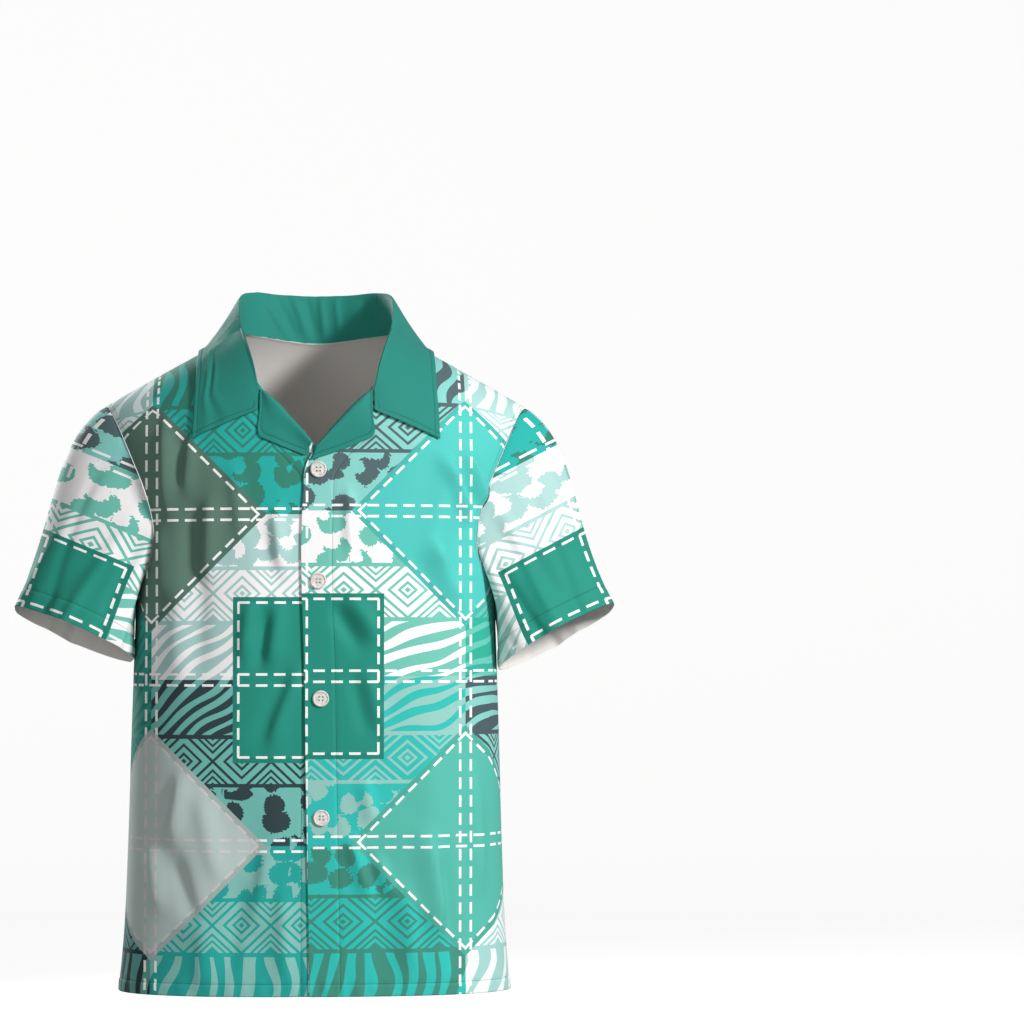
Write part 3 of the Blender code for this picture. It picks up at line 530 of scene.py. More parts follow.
def print_place(tree):
    """Where a point lies on the printed cloth: u, v and both as a vector."""
    place = put(tree, "UVMap", uv_map="print")
    parts = put(tree, "SeparateXYZ", [place.outputs[0]])
    return parts.outputs[0], parts.outputs[1], place.outputs[0]


def choose(tree, share, colours):
    """One of some colours in equal steps of share."""
    made = put(tree, "ValToRGB", [share])
    ramp = made.color_ramp
    ramp.interpolation = "CONSTANT"
    while len(ramp.elements) < len(colours):
        ramp.elements.new(1.0)
    for k, colour in enumerate(colours):
        ramp.elements[k].position = k / len(colours)
        ramp.elements[k].color = linear(colour)
    return made.outputs[0]


def weave(tree, cloth_map, threads):
    """Fine threads over and under each other, as bump, on a UV map."""
    parts = put(tree, "SeparateXYZ", [cloth_map])
    height = work_out(tree, "sin(x * pace) * sin(y * pace) * 0.5 + grain * 0.9",
                      x=parts.outputs[0], y=parts.outputs[1], pace=2 * np.pi / threads,
                      grain=put(tree, "TexNoise", {"Vector": cloth_map, "Scale": 0.35 / threads,
                                                   "Detail": 3.0}).outputs[0])
    return height


def stitch_groove(tree):
    """1 in the groove of a line of stitches, where a value of the seams map is 0, and 0 off it."""
    parts = put(tree, "SeparateXYZ", [put(tree, "UVMap", uv_map="seams").outputs[0]])
    return work_out(tree, "max(1 - min(abs(a), abs(b)) / half, 0)",
                    a=parts.outputs[0], b=parts.outputs[1], half=GROOVE_HALF)


def new_finish(name):
    """A new material, its node tree and its shader."""
    finish = bpy.data.materials.new(name)
    finish.use_nodes = True
    return finish, finish.node_tree, finish.node_tree.nodes["Principled BSDF"]


def cloth_surface(tree, shader, place, colour, threads, roughness):
    """What any cloth here has over its colour: dye taken up unevenly, stitch grooves darkened with
    painted shade, and threads.
    """
    uneven = put(tree, "TexNoise", {"Vector": place, "Scale": DYE_SCALE, "Detail": 2.0},
                 noise_dimensions="2D")
    groove = stitch_groove(tree)
    # The colour varies with the uneven dye and is darkened in the stitch grooves as painted shade.
    shade = work_out(tree, "(1 - vary / 2 + grain * vary) * (1 - groove * dark)", vary=DYE_UNEVEN,
                     grain=uneven.outputs[0], groove=groove, dark=GROOVE_SHADE)
    colour = put(tree, "VectorMath", {0: colour, "Scale": shade}, operation="SCALE")
    tree.links.new(colour.outputs[0], shader.inputs["Base Color"])
    height = work_out(tree, "weave - groove * deep", weave=weave(tree, place, threads), groove=groove,
                      deep=GROOVE_DEEP)
    bump = put(tree, "Bump", {"Height": height, "Strength": BUMP_STRENGTH, "Distance": BUMP_DISTANCE})
    tree.links.new(bump.outputs[0], shader.inputs["Normal"])
    shader.inputs["Roughness"].default_value = roughness
    shader.inputs["Sheen Weight"].default_value = 0.08
    shader.inputs["Sheen Roughness"].default_value = 0.5
    shader.inputs["Specular IOR Level"].default_value = 0.25


def printed_cloth():
    """Matt woven polyester with a printed patchwork: soft sheen at glancing angles, fine grain."""
    finish, tree, shader = new_finish("printed woven polyester")
    u, v, place = print_place(tree)

    # Cells: the colours of ground and motif.
    share = work_out(tree, "(min(max(1 - floor(v), 0), 3) * 4 + min(max(floor(u) + 2, 0), 3) + 0.5) / 16",
                     u=u, v=v)
    ground = choose(tree, share, [cell.ground for cell in CELLS])
    motif = choose(tree, share, [cell.motif for cell in CELLS])

    # Bands: the way from the nearest odd line, up or down.
    way = work_out(tree, "v % 2 - 1", v=v)
    far = work_out(tree, "abs(way)", way=way)
    under = work_out(tree, "way < 0", way=way)
    spots_end = work_out(tree, "end - less * under", end=SPOTS_END, less=SPOTS_END - SPOTS_END_UNDER,
                         under=under)
    limits = {"far": far, "end": spots_end, "bar": BAR, "last": DIAMONDS_END, "first": STRIPES_START}
    bars = work_out(tree, "(far > end) * (far < end + bar) + (far > last) * (far < first)", **limits)

    # Leopard: blots with a furry edge, and in some a bite that leaves a hook.
    form, fur = (put(tree, "TexNoise", {"Vector": place, "Scale": scale, "Detail": 0.0},
                     noise_dimensions="2D") for scale in (FORM_SCALE, FUR_SCALE))
    blots, bites = (put(tree, "TexVoronoi", {"Vector": put(tree, "VectorMath", [place, shift]).outputs[0],
                                             "Scale": SPOTS_PER_REPEAT, "Randomness": 1.0},
                        voronoi_dimensions="2D") for shift in ((0, 0, 0), SPOT_BITE))
    luck = put(tree, "SeparateXYZ", [blots.outputs["Color"]])
    edge = work_out(tree, "form * wavy + fur * furry", form=form.outputs[0], fur=fur.outputs[0],
                    wavy=SPOT_WAVY, furry=SPOT_FURRY)
    whole = work_out(tree, "max(bite - edge > size, luck > bitten)", bite=bites.outputs[0], edge=edge,
                     size=BITE_SIZE, luck=luck.outputs[0], bitten=BITTEN)
    leopard = work_out(tree, "(blot + edge < reach + size * vary) * whole", blot=blots.outputs[0],
                       edge=edge, reach=SPOT_SIZE, size=luck.outputs[1], vary=SPOT_RANGE, whole=whole)

    # Zebra: upright stripes next to the outer lines, slanting ones either side of the middle. Each
    # stripe swells and tapers along its own length.
    swing = put(tree, "TexNoise", {"Vector": place, "Scale": SWING_SCALE, "Detail": 0.0},
                noise_dimensions="2D")
    middle = work_out(tree, "abs(v) < 1", v=v)
    lean = work_out(tree, "right + (left - right) * (u < 0)", u=u, left=STRIPES_SIDEWAYS[0],
                    right=STRIPES_SIDEWAYS[1])
    slanting = work_out(tree, "v * up - u * lean + swing * far", u=u, v=v, up=STRIPES_UP, lean=lean,
                        swing=swing.outputs[0], far=STRIPE_SWING[0])
    upright = work_out(tree, "u * pace - v * lean + swing * far", u=u, v=v, pace=STRIPES_UPRIGHT,
                       lean=UPRIGHT_LEAN, swing=swing.outputs[0], far=STRIPE_SWING[1])
    stripes = work_out(tree, "slanting * middle + upright * (1 - middle)", slanting=slanting,
                       upright=upright, middle=middle)
    length = work_out(tree, "(u * 2.6 + v * lean * 0.30) * middle + v * 3.4 * (1 - middle)",
                      u=u, v=v, lean=lean, middle=middle)
    stretched = put(tree, "CombineXYZ", [work_out(tree, "floor(stripes) * 7.3 + stripes * 0.4",
                                                  stripes=stripes), length])
    taper = put(tree, "TexNoise", {"Vector": stretched.outputs[0], "Scale": 1.0, "Detail": 0.0},
                noise_dimensions="2D")
    zebra = work_out(tree, "abs(frac(stripes) - 0.5) < half + taper * vary", stripes=stripes,
                     taper=taper.outputs[0], half=STRIPE_HALF, vary=STRIPE_RANGE)

    # Nested diamonds: lines at set sizes of a diamond, and chevrons between the diamonds.
    right = work_out(tree, "u > 0", u=u)
    pitch = work_out(tree, "left + (wide - left) * right", left=DIAMOND_PITCH[0], wide=DIAMOND_PITCH[1],
                     right=right)
    side = work_out(tree, "abs((u / pitch + shift + more * right) % 1 - 0.5) * 2", u=u, pitch=pitch,
                    right=right, shift=DIAMOND_SHIFT, more=DIAMOND_SHIFT_RIGHT)
    high = work_out(tree, "abs(far - row + sink * under) / half", far=far, row=DIAMOND_MIDDLE,
                    sink=DIAMOND_SINK, under=under, half=DIAMOND_HIGH)
    size = work_out(tree, "side + high", side=side, high=high)
    lines = " + ".join(f"(abs(size - {line.at}) < {line.half})" for line in DIAMOND_RINGS)
    diamonds = work_out(tree, lines + " + (size < core) + (size > corner)", size=size,
                        core=DIAMOND_CORE, corner=DIAMOND_CORNER)

    bands = work_out(tree, "min((far < end) * leopard + (far > first) * zebra + bars"
                     " + (far > end + bar) * (far < last) * min(diamonds, 1), 1)",
                     leopard=leopard, zebra=zebra, bars=bars, diamonds=diamonds, **limits)
    colour = put(tree, "Mix", {0: bands, 6: ground, 7: motif}, data_type="RGBA").outputs[2]

    # Squares on point and the plain square over them, each with a deeper rim.
    near_u = work_out(tree, "abs(u) - 1", u=u)
    near_v = work_out(tree, "abs(v) - 1", v=v)
    point_edge = work_out(tree, "(half - abs(a) - abs(b)) * slant", a=near_u, b=near_v, half=POINT_HALF,
                          slant=SLANT)
    quadrant = work_out(tree, "((u > 0) + 2 * (v < 0) + 0.5) / 4", u=u, v=v)
    points = choose(tree, quadrant, POINT_SQUARES)
    square_edge = work_out(tree, "half - max(abs(u), abs(v))", u=u, v=v, half=SQUARE_HALF)
    in_point = work_out(tree, "(edge > 0)", edge=point_edge)
    in_square = work_out(tree, "(edge > 0)", edge=square_edge)
    rim = work_out(tree, "(inside * (point < inset) * (1 - square) + square * (edge < inset)) * share",
                   inside=in_point, point=point_edge, square=in_square, edge=square_edge,
                   inset=DASH_INSET, share=RIM_SHARE)
    for mask, over in ((in_point, points), (in_square, linear(PLAIN_SQUARE)), (rim, linear(RIM_COLOUR))):
        colour = put(tree, "Mix", {0: mask, 6: colour, 7: over}, data_type="RGBA").outputs[2]

    # White dashes: double along the rows and columns, single inside each patch.
    dashes = []
    lines = [("abs(abs((v + 0.5) % 1 - 0.5) - inset) + (abs(v) > 1.5)", "u"),
             ("abs(abs((u + 0.5) % 1 - 0.5) - inset)", "v"),
             ("abs(point - inset) + (square > 0)", "(abs(a) - abs(b)) * slant"),
             ("abs(square - inset)", "min(abs(u), abs(v))")]
    for across, along in lines:
        dashes.append(work_out(tree, f"({across} < wide) * ((({along}) / pitch + start) % 1 < long)",
                               u=u, v=v, a=near_u, b=near_v, point=point_edge, square=square_edge,
                               inset=DASH_INSET, wide=DASH_HALF_WIDE, pitch=DASH_PITCH, slant=SLANT,
                               start=DASH_START, long=DASH_LONG / DASH_PITCH))
    dashed = work_out(tree, "min(a + b + c + d, 1)", **dict(zip("abcd", dashes)))
    on_silver = work_out(tree, "inside * (u < 0) * (v < 0)", inside=in_point, u=u, v=v)
    dash = put(tree, "Mix", {0: on_silver, 6: linear(DASH_WHITE), 7: linear(DASH_ON_SILVER)},
               data_type="RGBA").outputs[2]
    colour = put(tree, "Mix", {0: dashed, 6: colour, 7: dash}, data_type="RGBA").outputs[2]
    cloth_surface(tree, shader, place, colour, THREADS, PRINTED_ROUGH)
    return finish


def plain_cloth(name, colour, threads):
    """Matt woven polyester dyed in one colour, with the same grain and sheen."""
    finish, tree, shader = new_finish(name)
    place = put(tree, "UVMap", uv_map="print").outputs[0]
    cloth_surface(tree, shader, place, linear(colour)[:3], threads, PLAIN_ROUGH)
    return finish


def print_height(points, face):
    """Height on the print of a body panel: level below the chest, cloth length over the shoulder."""
    radius = ROLL_RADIUS[face]
    way = way_down(np.maximum(ridge(points[..., 0]) - points[..., 2], 0), radius)
    spare = np.maximum(SHOULDER_PRINT - way, 0)
    level = fall(np.full_like(way, SHOULDER_PRINT), radius) - fall(way, radius)
    return points[..., 2] + np.where(way < SHOULDER_PRINT, spare - level, 0)


def print_side(points, face):
    """Distance on the print from the panel's middle: straight across, then round the side."""
    x, y = np.abs(points[..., 0]), np.abs(points[..., 1])
    wide, deep = ring(face, points[..., 2])
    limit = SIDE_TURNS * wide
    depth = deep * (1 - SIDE_TURNS ** SQUARENESS) ** (1 / SQUARENESS)
    past = np.hypot(np.maximum(x - limit, 0), np.maximum(depth - y, 0)) * (x > limit)
    return np.sign(points[..., 0]) * (np.minimum(x, limit) + past)


def dip(distance, at, deep, width):
    """A soft narrow trough at some distance from an edge, as a line of stitches pulls it in."""
    return -deep * np.exp(-((distance - at) / width) ** 2)


def hem_relief(laid, fold, phase):
    """A turned hem: a slight step, its line of stitches and the puckers along it."""
    short, long = (laid.start * 2 * np.pi / wave for wave in PUCKER_WAVES)
    pucker = np.sin(short + phase) + 0.7 * np.sin(long + 2.1 * phase)
    near = np.exp(-((laid.hem - fold * 0.6) / (fold * 0.8)) ** 2)
    return (PUCKER_RISE * pucker * near + dip(laid.hem, fold, *HEM_DIP)
            + HEM_STEP * (1 - ease(laid.hem, fold * 0.85, fold)))


def line_on(laid, relief, place, distance, at, down=False):
    """The line on a piece at a set distance from an edge.

    Gives a row for each point of it: its place, the way out and its place on the print. down
    says that the line runs down the piece and not across it.
    """
    fields = np.concatenate([laid.points + laid.out * relief[..., None], laid.out,
                             np.stack(place, axis=-1)], axis=-1)
    if down:
        fields, distance = fields.swapaxes(0, 1), distance.T
    if distance[0, 0] > distance[-1, 0]:
        fields, distance = fields[::-1], distance[::-1]
    steps = np.arange(len(distance))
    line = []
    for column in range(distance.shape[1]):
        step = np.interp(at, distance[:, column], steps)
        low = min(int(step), len(steps) - 2)
        share = step - low
        line.append(fields[low, column] * (1 - share) + fields[low + 1, column] * share)
    return np.array(line)


def stitch(name, lines, finish, pitch, size, across=False):
    """Rows of small thread stitches, half sunk in the cloth, along some lines on it."""
    mesh = bmesh.new()
    mesh.loops.layers.uv.new("print")
    for line in lines:
        along = np.concatenate([[0], np.cumsum(np.linalg.norm(np.diff(line[:, :3], axis=0), axis=1))])
        places = (np.arange(int(along[-1] / pitch)) + 0.5) * pitch
        ways = np.gradient(line[:, :3], axis=0)
        rows, ways = (np.stack([np.interp(places, along, column) for column in table.T], axis=-1)
                      for table in (line, ways))
        row_mesh = bmesh.new()
        row_layer = row_mesh.loops.layers.uv.new("print")
        for row, way in zip(rows, ways):
            out = Vector(row[3:6]).normalized()
            ahead = Vector(way).normalized()
            ahead = ahead.cross(out) if across else ahead
            sides = (ahead * size[0], out.cross(ahead) * size[1], out * size[2])
            turn = Matrix([list(axis) for axis in sides]).transposed().to_4x4()
            made = bmesh.ops.create_uvsphere(row_mesh, u_segments=6, v_segments=4, radius=0.5,
                                             matrix=Matrix.Translation(row[:3]) @ turn)
            for face in {face for vert in made["verts"] for face in vert.link_faces}:
                face.smooth = True
                for loop in face.loops:
                    loop[row_layer].uv = row[6:8]
        part = finished_mesh(name, row_mesh)
        mesh.from_mesh(part)
        bpy.data.meshes.remove(part)
    bmesh.ops.recalc_face_normals(mesh, faces=mesh.faces)
    piece = add_object(name, finished_mesh(name, mesh))
    piece.data.materials.append(finish)
    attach(piece, "root")


STITCH_PITCH = 0.0032
STITCH = (0.0025, 0.00050, 0.00040)   # length, width and height of one stitch
TOP_STITCH = 0.0055       # from a seam or an edge to the line of stitches along it
SHOULDER_PRINT = 0.11     # way down from the ridge within which the print follows the cloth
SIDE_TURNS = 0.93         # share of the half width past which the cloth turns round the side
PRINT_LEVEL = {FRONT: -0.381, BACK: -0.3690}   # height of the middle of the plain square
PRINT_REPEAT = {FRONT: 0.1767, BACK: 0.1850}   # one repeat on the panel
INSIDE_WHITE = "#e2deda"
HEM_FOLD = 0.0135         # from the hem to its line of stitches
HEM_STEP = 0.0004         # how far a turned hem stands out
PUCKER_WAVES, PUCKER_RISE = (0.0173, 0.0291), 0.0004   # lengths and height of the puckers on a hem
# How far a hem's stitches, a line of stitches beside an edge and a sewn edge are pulled in, and
# over what width.
HEM_DIP, TOP_DIP, SEAM_DIP = (0.0006, 0.0012), (0.0004, 0.0012), (0.0008, 0.0030)
ARM_STITCHES = 0.97       # share of the armhole that its line of stitches follows
BACK_CELLS = (190, 170)   # cells of its grid across and down

printed = printed_cloth()
# The inside is the same white polyester without print.
inside = plain_cloth("unprinted inside of the cloth", INSIDE_WHITE, THREADS)

back_laid = lay(back_point, BACK_CELLS, (-1 + SEAM_INSET, 1 - SEAM_INSET), 1)
back_print = (-print_side(back_laid.points, BACK) / PRINT_REPEAT[BACK],
              (print_height(back_laid.points, BACK) - PRINT_LEVEL[BACK]) / PRINT_REPEAT[BACK])
back_arms = np.minimum(back_laid.start, back_laid.end) - TOP_STITCH
back_seams = (back_laid.hem - HEM_FOLD, np.where(back_laid.v < ARMHOLE_SHARE[BACK], back_arms, NO_LINE))
back_edge = np.minimum(np.minimum(back_laid.start, back_laid.end), back_laid.top)
back_relief = hem_relief(back_laid, HEM_FOLD, 0.4) + dip(back_edge, 0, *SEAM_DIP)
back = sew_piece("back_panel", back_laid, back_relief, {"print": back_print, "seams": back_seams},
                 1, [printed, inside], turned_in="start end")
arm_rows = back_laid.v[:, 0] < ARMHOLE_SHARE[BACK] * ARM_STITCHES
arm = Laid(*(field[arm_rows] for field in back_laid))
arm_print = [half[arm_rows] for half in back_print]
stitch("back_stitches",
       [line_on(back_laid, back_relief, back_print, back_laid.hem, HEM_FOLD)]
       + [line_on(arm, back_relief[arm_rows], arm_print, side, TOP_STITCH, down=True)
          for side in (arm.start, arm.end)], printed, STITCH_PITCH, STITCH)
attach(back, "root")
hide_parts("back")


# ---- Fronts --------------------------------------------------------------------------------
# Two pieces of the printed cloth. Their opening edges are turned in and stitched down, and the
# left front laps over the right one, where the buttons close it.

UNDERLAP = 0.0021         # how deep the right front lies below the left one
OPENING_RAMP = (0.046, 0.018)
BAND = 0.0335             # from the opening edge to the line of stitches that holds it in
BAND_TOP = 0.155          # the band's stitches start this far down the opening edge
BAND_STARTS = (0.10, 0.16)       # way down over which the turned band begins to show
BAND_DIP = (0.0007, 0.0013)
FRONT_CELLS = (100, 190)
FRONT_PRINT = {WEARER_RIGHT: (0.0, -0.3812), WEARER_LEFT: (-0.0156, -0.3772)}  # plain square: x, z

Edge = namedtuple("Edge", "x z")
NECK_EDGE = [Edge(0.0810, 0.0), Edge(0.0795, -0.0210), Edge(0.0715, -0.0440), Edge(0.0600, -0.0660)]
ROLL_EDGE = [Edge(0.0440, -0.0840), Edge(0.0225, -0.1070), Edge(-0.0015, -0.1335)]
OPENING_EDGE = {
    WEARER_LEFT: [Edge(-0.0115, -0.1520), Edge(-0.0140, -0.1800), Edge(-0.0125, -0.3900),
                  Edge(-0.0065, HEM_Z)],
    WEARER_RIGHT: [Edge(-0.0140, -0.1490), Edge(-0.0190, -0.1760), Edge(-0.0190, -0.3900),
                   Edge(-0.0190, HEM_Z)],
}
ARMHOLES[FRONT] = [
    Armhole(78.8, 0.000), Armhole(75.3, 0.094), Armhole(72.7, 0.152), Armhole(70.4, 0.190),
    Armhole(68.4, 0.228), Armhole(68.2, 0.256), Armhole(72.0, 0.280), Armhole(79.5, 0.291),
    Armhole(90.0, 0.2945),
]
ARMHOLE_SHARE[FRONT] = 10 / 26
folds_of[FRONT] = [
    Fold(-0.150, -0.225, -0.144, -0.400, 0.013, 0.0044),
    Fold(-0.124, -0.170, -0.128, -0.380, 0.011, -0.0040),
    Fold(-0.062, -0.215, -0.040, -0.290, 0.012, -0.0030),
    Fold(-0.030, -0.365, -0.062, -0.450, 0.011, -0.0036),
    Fold(-0.135, -0.470, -0.120, -0.700, 0.022, 0.0045),
    Fold(-0.070, -0.520, -0.060, -0.712, 0.018, -0.0035),
    Fold(0.150, -0.130, 0.115, -0.260, 0.013, 0.0042),
    Fold(0.163, -0.190, 0.140, -0.300, 0.010, -0.0034),
    Fold(0.040, -0.370, 0.058, -0.440, 0.010, -0.0034),
    Fold(0.062, -0.300, 0.040, -0.350, 0.011, 0.0028),
    Fold(0.120, -0.430, 0.130, -0.700, 0.020, 0.0045),
    Fold(0.070, -0.540, 0.078, -0.712, 0.016, -0.0034),
]
creases_of[FRONT] = [
    Fold(-0.1605, -0.095, -0.1590, -0.205, 0.0070, 0.0042),
    Fold(-0.1475, -0.120, -0.1470, -0.175, 0.0065, -0.0030),
    Fold(-0.131, -0.125, -0.141, -0.180, 0.0065, 0.0028),
    Fold(-0.136, -0.190, -0.1385, -0.290, 0.0105, -0.0046),
    Fold(-0.166, -0.215, -0.162, -0.300, 0.0080, 0.0030),
    Fold(-0.1135, -0.185, -0.1185, -0.275, 0.0100, 0.0032),
    Fold(-0.088, -0.150, -0.078, -0.235, 0.0085, 0.0022),
    Fold(-0.043, -0.195, -0.037, -0.262, 0.0075, 0.0034),
    Fold(-0.067, -0.292, -0.074, -0.362, 0.0090, 0.0040),
    Fold(-0.055, -0.305, -0.063, -0.372, 0.0080, -0.0034),
    Fold(-0.037, -0.300, -0.048, -0.366, 0.0085, 0.0026),
    Fold(-0.016, -0.368, -0.050, -0.455, 0.0085, 0.0036),
    Fold(-0.140, -0.480, -0.150, -0.560, 0.0100, 0.0040),
    Fold(-0.152, -0.490, -0.172, -0.550, 0.0080, -0.0030),
    Fold(-0.120, -0.500, -0.100, -0.600, 0.0100, 0.0028),
    Fold(-0.150, -0.570, -0.128, -0.640, 0.0105, -0.0034),
    Fold(-0.176, -0.555, -0.166, -0.630, 0.0090, 0.0034),
    Fold(-0.112, -0.640, -0.118, -0.712, 0.0100, 0.0026),
    Fold(-0.082, -0.590, -0.094, -0.700, 0.0100, -0.0030),
    Fold(-0.050, -0.560, -0.066, -0.650, 0.0095, 0.0030),
    Fold(-0.034, -0.600, -0.030, -0.712, 0.0090, 0.0022),
    Fold(0.033, -0.175, 0.037, -0.245, 0.0065, 0.0030),
    Fold(0.132, -0.138, 0.166, -0.210, 0.0072, 0.0056),
    Fold(0.147, -0.140, 0.174, -0.200, 0.0060, -0.0024),
    Fold(0.159, -0.130, 0.184, -0.192, 0.0068, 0.0050),
    Fold(0.121, -0.230, 0.155, -0.302, 0.0085, 0.0056),
    Fold(0.107, -0.250, 0.138, -0.315, 0.0090, -0.0026),
    Fold(0.018, -0.300, 0.052, -0.352, 0.0090, -0.0040),
    Fold(0.034, -0.290, 0.066, -0.340, 0.0085, 0.0030),
    Fold(0.052, -0.372, 0.068, -0.436, 0.0080, 0.0030),
    Fold(0.050, -0.485, 0.060, -0.535, 0.0080, 0.0028),
    Fold(0.036, -0.548, 0.057, -0.612, 0.0085, 0.0038),
    Fold(0.050, -0.556, 0.070, -0.616, 0.0070, -0.0024),
    Fold(0.066, -0.570, 0.084, -0.615, 0.0075, 0.0030),
    Fold(0.112, -0.540, 0.132, -0.650, 0.0115, 0.0054),
    Fold(0.134, -0.560, 0.150, -0.690, 0.0095, -0.0038),
    Fold(0.168, -0.480, 0.176, -0.610, 0.0095, 0.0040),
    Fold(0.092, -0.600, 0.104, -0.700, 0.0095, 0.0034),
]


def front_edge_place(share, hand, edge):
    """An edge of a front, given by its x and z, from its first point (0) to its last (1)."""
    places = [place_of(FRONT, hand * row.x, row.z) for row in edge]
    return line_place(FRONT, np.array([place[0] for place in places]),
                      np.array([place[1] for place in places]), share)


def underlap(point, hand):
    """The right front sinks behind the left one where they overlap."""
    if hand == WEARER_RIGHT:
        point[..., 1] += UNDERLAP * ease(-point[..., 0], *OPENING_RAMP)
    return point


def front_point(hand, u, v):
    """u runs from the opening edge to the side and v from the top to the hem."""
    edge = NECK_EDGE + ROLL_EDGE + OPENING_EDGE[hand]
    neck, _ = place_of(FRONT, hand * NECK_SIDE_X, 0.0)
    shoulder = hand * np.radians(ARMHOLES[FRONT][0].angle)
    angle, way = panel_place(
        FRONT, lambda across: (neck + (shoulder - neck) * across, 0 * across),
        lambda share: front_edge_place(share, hand, edge),
        lambda share: side_place(FRONT, share, hand), u, v)
    return underlap(body_point(FRONT, angle, way + SEAM_SHIFT), hand)


fronts = {}
for hand, side_name in ((WEARER_RIGHT, "right"), (WEARER_LEFT, "left")):
    laid = lay(lambda u, v: front_point(hand, u, v), FRONT_CELLS, (SEAM_INSET, 1 - SEAM_INSET), -hand)
    print_x, print_z = FRONT_PRINT[hand]
    front_print = ((print_side(laid.points, FRONT) - print_x) / PRINT_REPEAT[FRONT],
                   (print_height(laid.points, FRONT) - print_z) / PRINT_REPEAT[FRONT])
    edge = np.minimum(np.where(laid.v > 0.02, laid.end, 1), laid.top)
    banded = dip(laid.start, BAND, *BAND_DIP) + HEM_STEP * (1 - ease(laid.start, BAND * 0.9, BAND))
    relief = (hem_relief(laid, HEM_FOLD, 1.3 * hand) + dip(edge, 0, *SEAM_DIP)
              + banded * ease(laid.top, *BAND_STARTS))
    band = np.where(laid.top > BAND_TOP, laid.start - BAND, NO_LINE)
    arm = np.where(laid.v < ARMHOLE_SHARE[FRONT], laid.end - TOP_STITCH, NO_LINE)
    front = sew_piece("front_panel_" + side_name, laid, relief,
                      {"print": front_print, "seams": (laid.hem - HEM_FOLD, np.minimum(band, arm))},
                      -hand, [printed, inside], turned_in="end top")
    band_rows = laid.top[:, 0] > BAND_TOP
    arm_rows = laid.v[:, 0] < ARMHOLE_SHARE[FRONT] * ARM_STITCHES
    lines = [line_on(laid, relief, front_print, laid.hem, HEM_FOLD)]
    for rows, side, at in ((band_rows, laid.start, BAND), (arm_rows, laid.end, TOP_STITCH)):
        lines.append(line_on(Laid(*(field[rows] for field in laid)), relief[rows],
                             [half[rows] for half in front_print], side[rows], at, down=True))
    stitch("front_stitches_" + side_name, lines, printed, STITCH_PITCH, STITCH)
    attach(front, "root")
    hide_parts("front_" + side_name)
    fronts[hand] = laid


# ---- Sleeves -------------------------------------------------------------------------------
# Short set-in sleeves of the printed cloth, each a tube sewn closed under the arm, with a
# turned and stitched hem. The print is centred on the fold at the top of the sleeve.

SEAM_GAP = 0.0003
SLEEVE_CLEAR = 0.0019     # how far the sleeve stays from the body's side
SLEEVE_SEAM_CLEAR = 0.0005     # the same at the seam
SLEEVE_LEAVE = (0.85, 0.10)    # the top of the sleeve leaves the shoulder out and up
SLEEVE_ARRIVE = (0.35, 0.65)   # pull of the cuff on the cloth above it: all round, and more at the top
SLEEVE_FOLD_START = (0.02, 0.35)   # share of the way down over which the folds begin
SLEEVE_SEAM_TURNS = (0.35, 0.70)   # turns over which the seam starts to keep off the side
SLEEVE_SEAM_END = 0.25         # share of the way down after which the full clearance holds
SLEEVE_CORE = ((0.205, -0.185), (0.262, -0.330))   # x and z of the sleeve's core, seam and cuff
UNDER_ARM = (0.40, 0.55)       # turns between which a sleeve starts to keep off the side
SIDE_REACH = 0.12              # usual distance of the side from the body's middle line
SLEEVE_REPEAT = (0.226, 0.186)   # one repeat round the sleeve and along it
SLEEVE_PRINT_START = 0.004       # from the fold at the top of the sleeve to the print's middle
Pace = namedtuple("Pace", "up pace")
SLEEVE_PRINT_PACE = [Pace(0.00, 1.05), Pace(0.09, 1.00), Pace(0.19, 0.70)]   # narrower at the cuff
CUFF_FOLD = 0.0210        # from the cuff's edge to its line of stitches
SLEEVE_PRINT_WRAP = 0.10  # share of the way round that the print takes at the top of the sleeve
SLEEVE_PRINT_LEVEL = (0.02, 0.09)   # way up from the hem over which the print turns level
SLEEVE_FLAT = 0.006       # how much flatter the top of the sleeve hangs halfway down
SLEEVE_CELLS = (200, 70)
Cuff = namedtuple("Cuff", "outer_x outer_z inner_x inner_z")
CUFFS = {
    WEARER_RIGHT: Cuff(-0.3280, -0.3050, -0.1965, -0.3600),
    WEARER_LEFT: Cuff(0.3280, -0.3010, 0.2000, -0.3690),
}
CUFF_HALF_DEPTH = 0.0575
CUFF_LIFT = 0.0115        # the front of the cuff is higher than its middle, the back lower
CUFF_INNER_Y = -0.030     # the inner end of the cuff lies in front of the body's side
SleeveFold = namedtuple("SleeveFold", "turn0 turn1 width rise")
SLEEVE_FOLDS = {
    WEARER_RIGHT: [SleeveFold(-0.62, -0.30, 0.060, -0.0036), SleeveFold(-0.40, -0.14, 0.070, 0.0030),
                   SleeveFold(0.60, 0.34, 0.070, -0.0040), SleeveFold(0.36, 0.12, 0.070, 0.0030),
                   SleeveFold(-0.52, -0.46, 0.032, 0.0036), SleeveFold(-0.60, -0.64, 0.034, -0.0036),
                   SleeveFold(-0.78, -0.76, 0.030, 0.0026), SleeveFold(-0.24, -0.34, 0.030, -0.0026),
                   SleeveFold(0.50, 0.46, 0.032, 0.0034), SleeveFold(0.24, 0.30, 0.032, -0.0026)],
    WEARER_LEFT: [SleeveFold(-0.60, -0.36, 0.060, -0.0036), SleeveFold(-0.34, -0.18, 0.070, 0.0030),
                  SleeveFold(0.62, 0.38, 0.070, -0.0040), SleeveFold(0.30, 0.16, 0.070, 0.0030),
                  SleeveFold(-0.48, -0.52, 0.032, 0.0034), SleeveFold(-0.66, -0.60, 0.034, -0.0034),
                  SleeveFold(-0.30, -0.36, 0.028, -0.0026), SleeveFold(-0.20, -0.14, 0.030, 0.0022),
                  SleeveFold(0.54, 0.48, 0.032, 0.0034), SleeveFold(0.22, 0.34, 0.032, -0.0028)],
}


